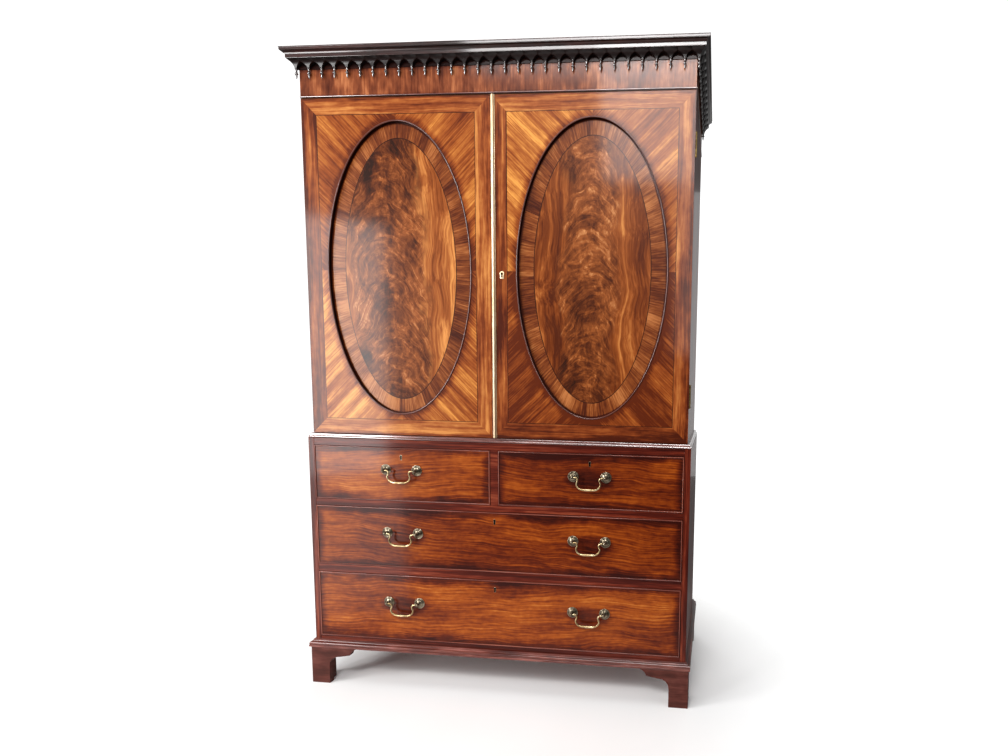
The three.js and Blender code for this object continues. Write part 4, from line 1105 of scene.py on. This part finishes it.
# the crown from the bottom: fascia, quirk, ogee, fillet and a sloping lip, as shares of the reach and height
crownShares = [
    (0.0, 0.0), (0.655, 0.0), (0.665, 0.03), (0.665, 0.055), (0.68, 0.07), (0.68, 0.345), (0.675, 0.36),
    (0.665, 0.365), (0.665, 0.385), (0.695, 0.395), (0.705, 0.43), (0.717, 0.47), (0.733, 0.51),
    (0.76, 0.55), (0.8, 0.585), (0.85, 0.61), (0.9, 0.63), (0.935, 0.645), (0.945, 0.66), (0.945, 0.685),
    (0.965, 0.695), (0.97, 0.705), (0.97, 0.9), (0.975, 0.915), (0.992, 0.925), (1.0, 0.94), (1.0, 0.99),
    (0.995, 1.0), (0.0, 1.0),
]
# a pendant from the rib down, as shares of its radius and length: tapering stem and ring, then the drop
# under its squat ball, which ends in a point
stemShares = [(0.56, 0.12), (0.5, 0.2), (0.48, 0.28), (0.62, 0.3), (0.66, 0.32), (0.6, 0.34), (0.46, 0.355)]
dropShares = [(0.46, 0.6), (0.44, 0.615), (0.56, 0.65), (0.55, 0.7), (0.45, 0.79), (0.32, 0.88), (0.17, 0.96),
              (0.0, 1.0)]


def makeFrieze():
    draw, shell = random.Random(71), newShell()
    half, front, back = press["caseHalf"], press["doorFace"], press["back"]
    low, high, thick, top = cornice["base"], cornice["dust"], cornice["board"], cornice["hollowTop"]
    runs = [(-half, half, onFront(front)), (front, back, onSide(-half)), (front, back, onSide(half)),
            (-half, half, onFront(back))]
    for i, (start, end, place) in enumerate(runs):
        veneered, shade = i < 3, cornice["toneRange"]
        count = max(1, round((end - start) / cornice["leafWidth"])) if veneered else 1
        for k in range(count):
            a, b = [start + (end - start) * (k + step) / count for step in (0, 1)]
            tone, slip = draw.uniform(-shade, shade), [draw.uniform(0, most) for most in cornice["slip"]]
            layLeaf(shell, [rectangle(a, b, low, high)], place, 90, 0 if veneered else 1, tone, slip)
    inner = rectangle(-half + thick, half - thick, front + thick, back - cornice["backBoard"])
    rim = rectangle(-half, half, front, back)
    layLeaf(shell, [rim, inner], onLevel(low), 0, 1)
    layBand(shell, [[(u, v, z) for u, v in inner] for z in (low, top)], 1)
    layLeaf(shell, [inner], onLevel(top), 0, 1)
    layLeaf(shell, [rim], onLevel(high), 0, 1)
    board = closeShell(shell, "friezeBoard", [friezeVeneer, insideX])
    # a bead along its lower edge, over a quirk painted near black as the shadow line above the doors
    bead, quirk, foot = newShell(), low + cornice["quirk"], low + cornice["beadSeam"]
    tuck, flat, proud = -cornice["beadTuck"], cornice["beadFlat"], cornice["quirkProud"]
    r = (cornice["friezeBead"] - cornice["quirk"]) / 2
    returnedMoulding(bead, [(tuck, foot), (proud, foot), (proud, quirk), (tuck, quirk)], half, front, 1)
    curve = curvePoints((flat, quirk + r), (cornice["beadProud"] - flat, r), -90, 90, 8)
    section = [(tuck, quirk), (flat, quirk), *curve, (tuck, quirk + 2 * r)]
    returnedMoulding(bead, section, half, front)
    beadPiece = closeShell(bead, "friezeBead", [handledRun, revealWood])
    settle(joinAs("frieze", [board, beadPiece]), "carcase", "mahogany", "cornice_frieze")


def makeCrown():
    tall = cornice["crownTop"] - cornice["crownBase"]
    section = [(out * cornice["reach"], cornice["crownBase"] + up * tall) for out, up in crownShares]
    crown = moulded("crown", section, press["caseHalf"], press["doorFace"], [smokedRun, revealWood], 25)
    # the bare top takes the near-black matt wood that stands for shade in the reveals
    for face in crown.data.polygons:  # the top was never polished
        face.material_index = int(face.normal.z > 0.99 and face.center.z > (cornice["crownTop"] - 0.5) * mm)
    settle(crown, "carcase", "dark_mahogany", "cornice_crown")


def archHalf(share):
    # half the opening at a share of the cove's height: two arcs that meet in a point
    half = (cornice["pitch"] - cornice["rib"]) / 2
    up = share * (cornice["coveTop"] - cornice["coveBase"]) / cornice["rise"]
    return 0.0 if up >= 1 else half * (2 * math.cos(math.asin(up * math.sin(math.pi / 3))) - 1)


def reachAt(share):
    # how far the cove stands out at a share of its height
    for (a, ra), (b, rb) in zip(coveShares, coveShares[1:]):
        if share <= b:
            return cornice["reach"] * (ra + (rb - ra) * (share - a) / (b - a))


def makeBay(name, left, right):
    # one arch of the cove, seen along +Y, from u = left to u = right about its own middle
    height, arris = cornice["coveTop"] - cornice["coveBase"], cornice["ribArris"]
    rows = sorted({share for share, _ in coveShares} | {i / 16 * archShare for i in range(17)})
    shell = newShell()
    for sign, end in ((-1, left), (1, right)):
        columns = []
        for share in rows:
            p, z = reachAt(share), share * height
            a = min(archHalf(share), abs(end))
            edge = min(a + arris, abs(end))
            columns.append([(sign * a, 0.0, z), (sign * a, -(p - arris), z),
                            (sign * edge, -p, z), (end, -p, z)])
        layBand(shell, columns, closed=False)
        layBand(shell, [[(column[0][0], 0.0, column[0][2]), (end, 0.0, column[0][2])] for column in columns],
                closed=False)
        for column in (columns[0], columns[-1]):
            start, corners = len(shell["corners"]), [*column, (end, 0.0, column[0][2])]
            shell["corners"] += corners
            addFace(shell, list(range(start, start + 5)), [(u, y) for u, y, _ in corners], 0, 0.0)
    return closeShell(shell, name, [arcadeWood], 32)


def makePendant():
    r, length = cornice["pendantRadius"], cornice["pendantLength"]
    profile = [(0.0, 4.0), (0.72 * r, 4.0), (0.72 * r, 0.0), (0.82 * r, -0.5), (0.82 * r, -1.7),
               (0.64 * r, -2.2)]
    profile += [(across * r, -down * length) for across, down in stemShares]
    profile += curvePoints((0, -0.475 * length), (r, 0.125 * length), 64, -60, 9)
    profile += [(across * r, -down * length) for across, down in dropShares]
    return skinned("pendant", latheRings(profile, 16), [pendantWood], 55)


def makeArcade():
    bayRow, pendantRow = rowTree("arcadeRow", arcadeWood), rowTree("pendantRow", pendantWood)
    pitch, out, half, count = cornice["pitch"], cornice["pendantOut"], press["caseHalf"], cornice["sideBays"]
    face, base, bays = press["doorFace"], cornice["coveBase"], cornice["bays"]
    first = face - out
    last = press["back"] - (first + count * pitch)  # what is left for the part of a bay at the back
    bay, pendant = makeBay("bay", -pitch / 2, pitch / 2), makePendant()
    partBays = {1: makeBay("bayLeft", -pitch / 2, last - pitch / 2),
                -1: makeBay("bayRight", pitch / 2 - last, pitch / 2)}
    rows = [repeated(bayRow, bay, bays, (-half - out + pitch / 2, face, base), (pitch, 0, 0)),
            repeated(pendantRow, pendant, bays + 1, (-half - out, first, base), (pitch, 0, 0))]
    for side in (-1, 1):
        turn, start = (0, 0, side * math.pi / 2), first + pitch / 2
        rows.append(repeated(bayRow, bay, count, (side * half, start, base), (0, pitch, 0), turn))
        end = (side * half, start + count * pitch, base)
        rows.append(repeated(bayRow, partBays[side], 1, end, (0, 1, 0), turn))
        along = (side * (half + out), first + pitch, base)
        rows.append(repeated(pendantRow, pendant, count, along, (0, pitch, 0)))
        rows.append(cornerBlock(side))
    for item in (bay, pendant, *partBays.values()):
        bpy.data.objects.remove(item)
    # the arches are blind: a thin back stands just off the frieze, painted near black as the shade behind the
    # arches
    near, far, top = cornice["seam"], cornice["archBack"], cornice["coveTop"]
    back = [(near, base), (far, base), (far, top), (near, top)]
    rows.append(moulded("archBacks", back, half, face, [revealWood]))
    settle(joinAs("arcade", rows), "carcase", "dark_mahogany", "cornice_arcade")


def cornerBlock(side):
    # the mitred end of the cove, between the last bay of the front and the first of the return
    height, rings = cornice["coveTop"] - cornice["coveBase"], []
    x, y, out = press["caseHalf"], press["doorFace"], cornice["pendantOut"]
    for share, reachShare in coveShares:
        p, z = cornice["reach"] * reachShare, cornice["coveBase"] + share * height
        rings.append([(side * (x + a), y - b, z) for a, b in ((out, out), (out, p), (p, p), (p, out))])
    return skinned("corner", rings, [arcadeWood], 32, True)


makeFrieze()
makeCrown()
makeArcade()
print("cornice made")


# Backs: upright boards with a small V between them on both faces

backBoards = {"width": 138.0, "groove": 1.4, "toneRange": 0.14, "slip": 3000}


def makeBack(node, seed):
    draw, shell, groove = random.Random(seed), newShell(), backBoards["groove"]
    (x0, y0, z0), (x1, y1, z1) = [[c / mm for c in corner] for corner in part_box(node)]
    count, lines = round((x1 - x0) / backBoards["width"]), {y0: [], y1: []}
    for k in range(count):
        a, b = [x0 + (x1 - x0) * (k + step) / count for step in (0, 1)]
        tone, slip = draw.uniform(-1, 1) * backBoards["toneRange"], draw.uniform(0, backBoards["slip"])
        for y, inward in ((y0, groove), (y1, -groove)):
            line = [(a, y + inward), (a + groove, y), (b - groove, y), (b, y + inward)]
            layBand(shell, [[(*point, z) for point in line] for z in (z0, z1)], 0, tone, True, False, slip)
            lines[y] += line[1 if k else 0:]
    for z in (z0, z1):
        layLeaf(shell, [lines[y0] + lines[y1][::-1]], onLevel(z), 90)
    for x in (x0, x1):
        layBand(shell, [[(x, y0 + groove, z), (x, y1 - groove, z)] for z in (z0, z1)], 0, 0.0, True, False)
    settle(closeShell(shell, node + "_boards", [insideRun], 0), "carcase", "interior_wood", node)


makeBack("chest_back", 41)
makeBack("cupboard_back", 42)
print("backs made")


# Boards, feet, drawer boxes and trays keep their solids' shapes, with their edges eased

plainBoards = [  # solids, wood, slot and how far the edges are eased
    ("chest_left_side chest_right_side", solidZ, "mahogany", 0.8),
    ("chest_top_board chest_bottom_board lower_drawer_rail upper_drawer_rail", solidX, "dark_mahogany", 0.5),
    ("cupboard_left_side cupboard_right_side", solidZ, "mahogany", 0.6),
    ("cupboard_bottom_board cupboard_top_board", insideX, "interior_wood", 0.5),
]
easeOf = {"tray": 0.8, "box": 0.8, "foot": 1.0, "hinge": 0.25}
for nodes, wood, slot, ease in plainBoards:
    for node in nodes.split():
        easedCopy(node, "eased_" + node, wood, slot, ease)
for i in (1, 2, 3):
    easedCopy(f"linen_tray_{i}", f"tray_{i}", insideX, "interior_wood", easeOf["tray"], (0, insideY))
for drawerName in drawers:
    node = drawerName + "_drawer_box"
    easedCopy(node, drawerName + "_box", insideY, "interior_wood", easeOf["box"], (1, insideX))
for side in ("left", "right"):
    for end in ("front", "rear"):
        node = f"{end}_{side}_foot"
        easedCopy(node, "eased_" + node, feetWood, "dark_mahogany", easeOf["foot"], (0, feetSideWood))
    for height in ("lower", "upper"):
        node = f"{side}_{height}_hinge"
        easedCopy(node, node.replace("hinge", "butt"), hingeBrass, "brass", easeOf["hinge"])
print("boards made")


# Studio: a pale floor, a white surround and soft boxes

studio = {
    "floor": "f8f7f6", "surround": "ffffff", "seen": 1.0, "given": 0.16,
    "fadeCentre": (0.0, -0.3, 0.0), "fade": (0.45, 1.6), "floorHalf": 4,  # metres on the floor
    "boxes": [  # place, aim, size, power
        ((-4.3, -2.6, 2.7), (-0.2, 0, 1.2), (1.4, 1.4), 116.0),      # key, outside the doors' mirror
        ((-2.85, -3.6, 1.3), (-0.5, -0.2, 1.1), (0.75, 2.4), 68.0),  # shows as a haze at the left
        ((-3.0, -3.6, -0.65), (-0.5, -0.2, 0.4), (1.3, 1.5), 22.0),  # and weaker over the drawers
        ((0.15, -3.6, 3.35), (0.5, -0.2, 1.9), (1.0, 1.0), 40.0),    # another at the top right
        ((0.47, -3.6, 2.05), (0.6, -0.2, 1.4), (0.27, 1.5), 7.0),    # and weak down the right stile
        ((3.4, -2.6, 2.6), (0.2, 0, 1.2), (1.8, 1.8), 13.0),         # fill from the right
        ((-0.5, -4.2, 4.45), (0.0, -0.3, 2.0), (2.6, 0.8), 70.0),    # the light bands along the crown
        ((0.0, -0.9, 5.0), (0, 0, 1.0), (3.0, 2.0), 40.0),           # from above
        ((-1.2, 4.0, 2.4), (0, 0.28, 1.0), (3.0, 2.4), 60.0),        # fill on the back
        ((1.3, 4.0, 1.5), (0.7, 0.28, 1.2), (1.6, 3.0), 7.0),        # sheen along the right side
    ],
}


def makeFloor():
    material, add = newMaterial("paleFloor")
    point = add("TexCoord", out="Object")
    cloud = add("TexNoise", {"Vector": point, "Scale": 1.5, "Detail": 2.0})
    tint = add("ValToRGB", {"Fac": cloud}, stops=[(0.2, studio["floor"]), (0.8, "ffffff")])
    # away from the press the floor thins out into the white surround, as a studio sweep does
    far = add("VectorMath", [point, studio["fadeCentre"]], "DISTANCE", out="Value")
    left = add("MapRange", [far, *studio["fade"], 1.0, 0.0], interpolation_type="SMOOTHSTEP")
    shader = add("BsdfPrincipled", {"Base Color": tint, "Roughness": 0.75, "Alpha": left})
    add("OutputMaterial", {"Surface": shader})
    mesh, half = bpy.data.meshes.new("studioFloor"), studio["floorHalf"]
    mesh.from_pydata([(x, y, 0) for x, y in rectangle(-half, half, -half, half)], [], [(0, 1, 2, 3)])
    mesh.materials.append(material)
    newObject("studioFloor", mesh)


def makeSurround():
    # it looks white but lights the press only gently
    world = bpy.data.worlds.new("paleSky")
    world.use_nodes = True
    world.node_tree.nodes.clear()
    add = partial(addNode, world.node_tree)
    seen = add("LightPath", out="Is Camera Ray")
    strength = add("MapRange", [seen, 0.0, 1.0, studio["given"], studio["seen"]])
    glow = add("Background", {"Color": linearColour(studio["surround"]), "Strength": strength})
    add("OutputWorld", {"Surface": glow})
    bpy.context.scene.world = world


def placeSoftBoxes():
    for i, (place, aim, size, power) in enumerate(studio["boxes"]):
        data = bpy.data.lights.new(f"softBox{i}", "AREA")
        data.shape, data.size, data.size_y, data.energy = "RECTANGLE", *size, power
        lamp = newObject(f"softBox{i}", data)
        lamp.location, lamp.visible_camera = place, False
        lamp.rotation_euler = (Vector(aim) - Vector(place)).to_track_quat("-Z", "Y").to_euler()


makeFloor()
makeSurround()
placeSoftBoxes()
view = bpy.context.scene.view_settings
view.view_transform, view.look = "Standard", "Medium High Contrast"
print("studio made")
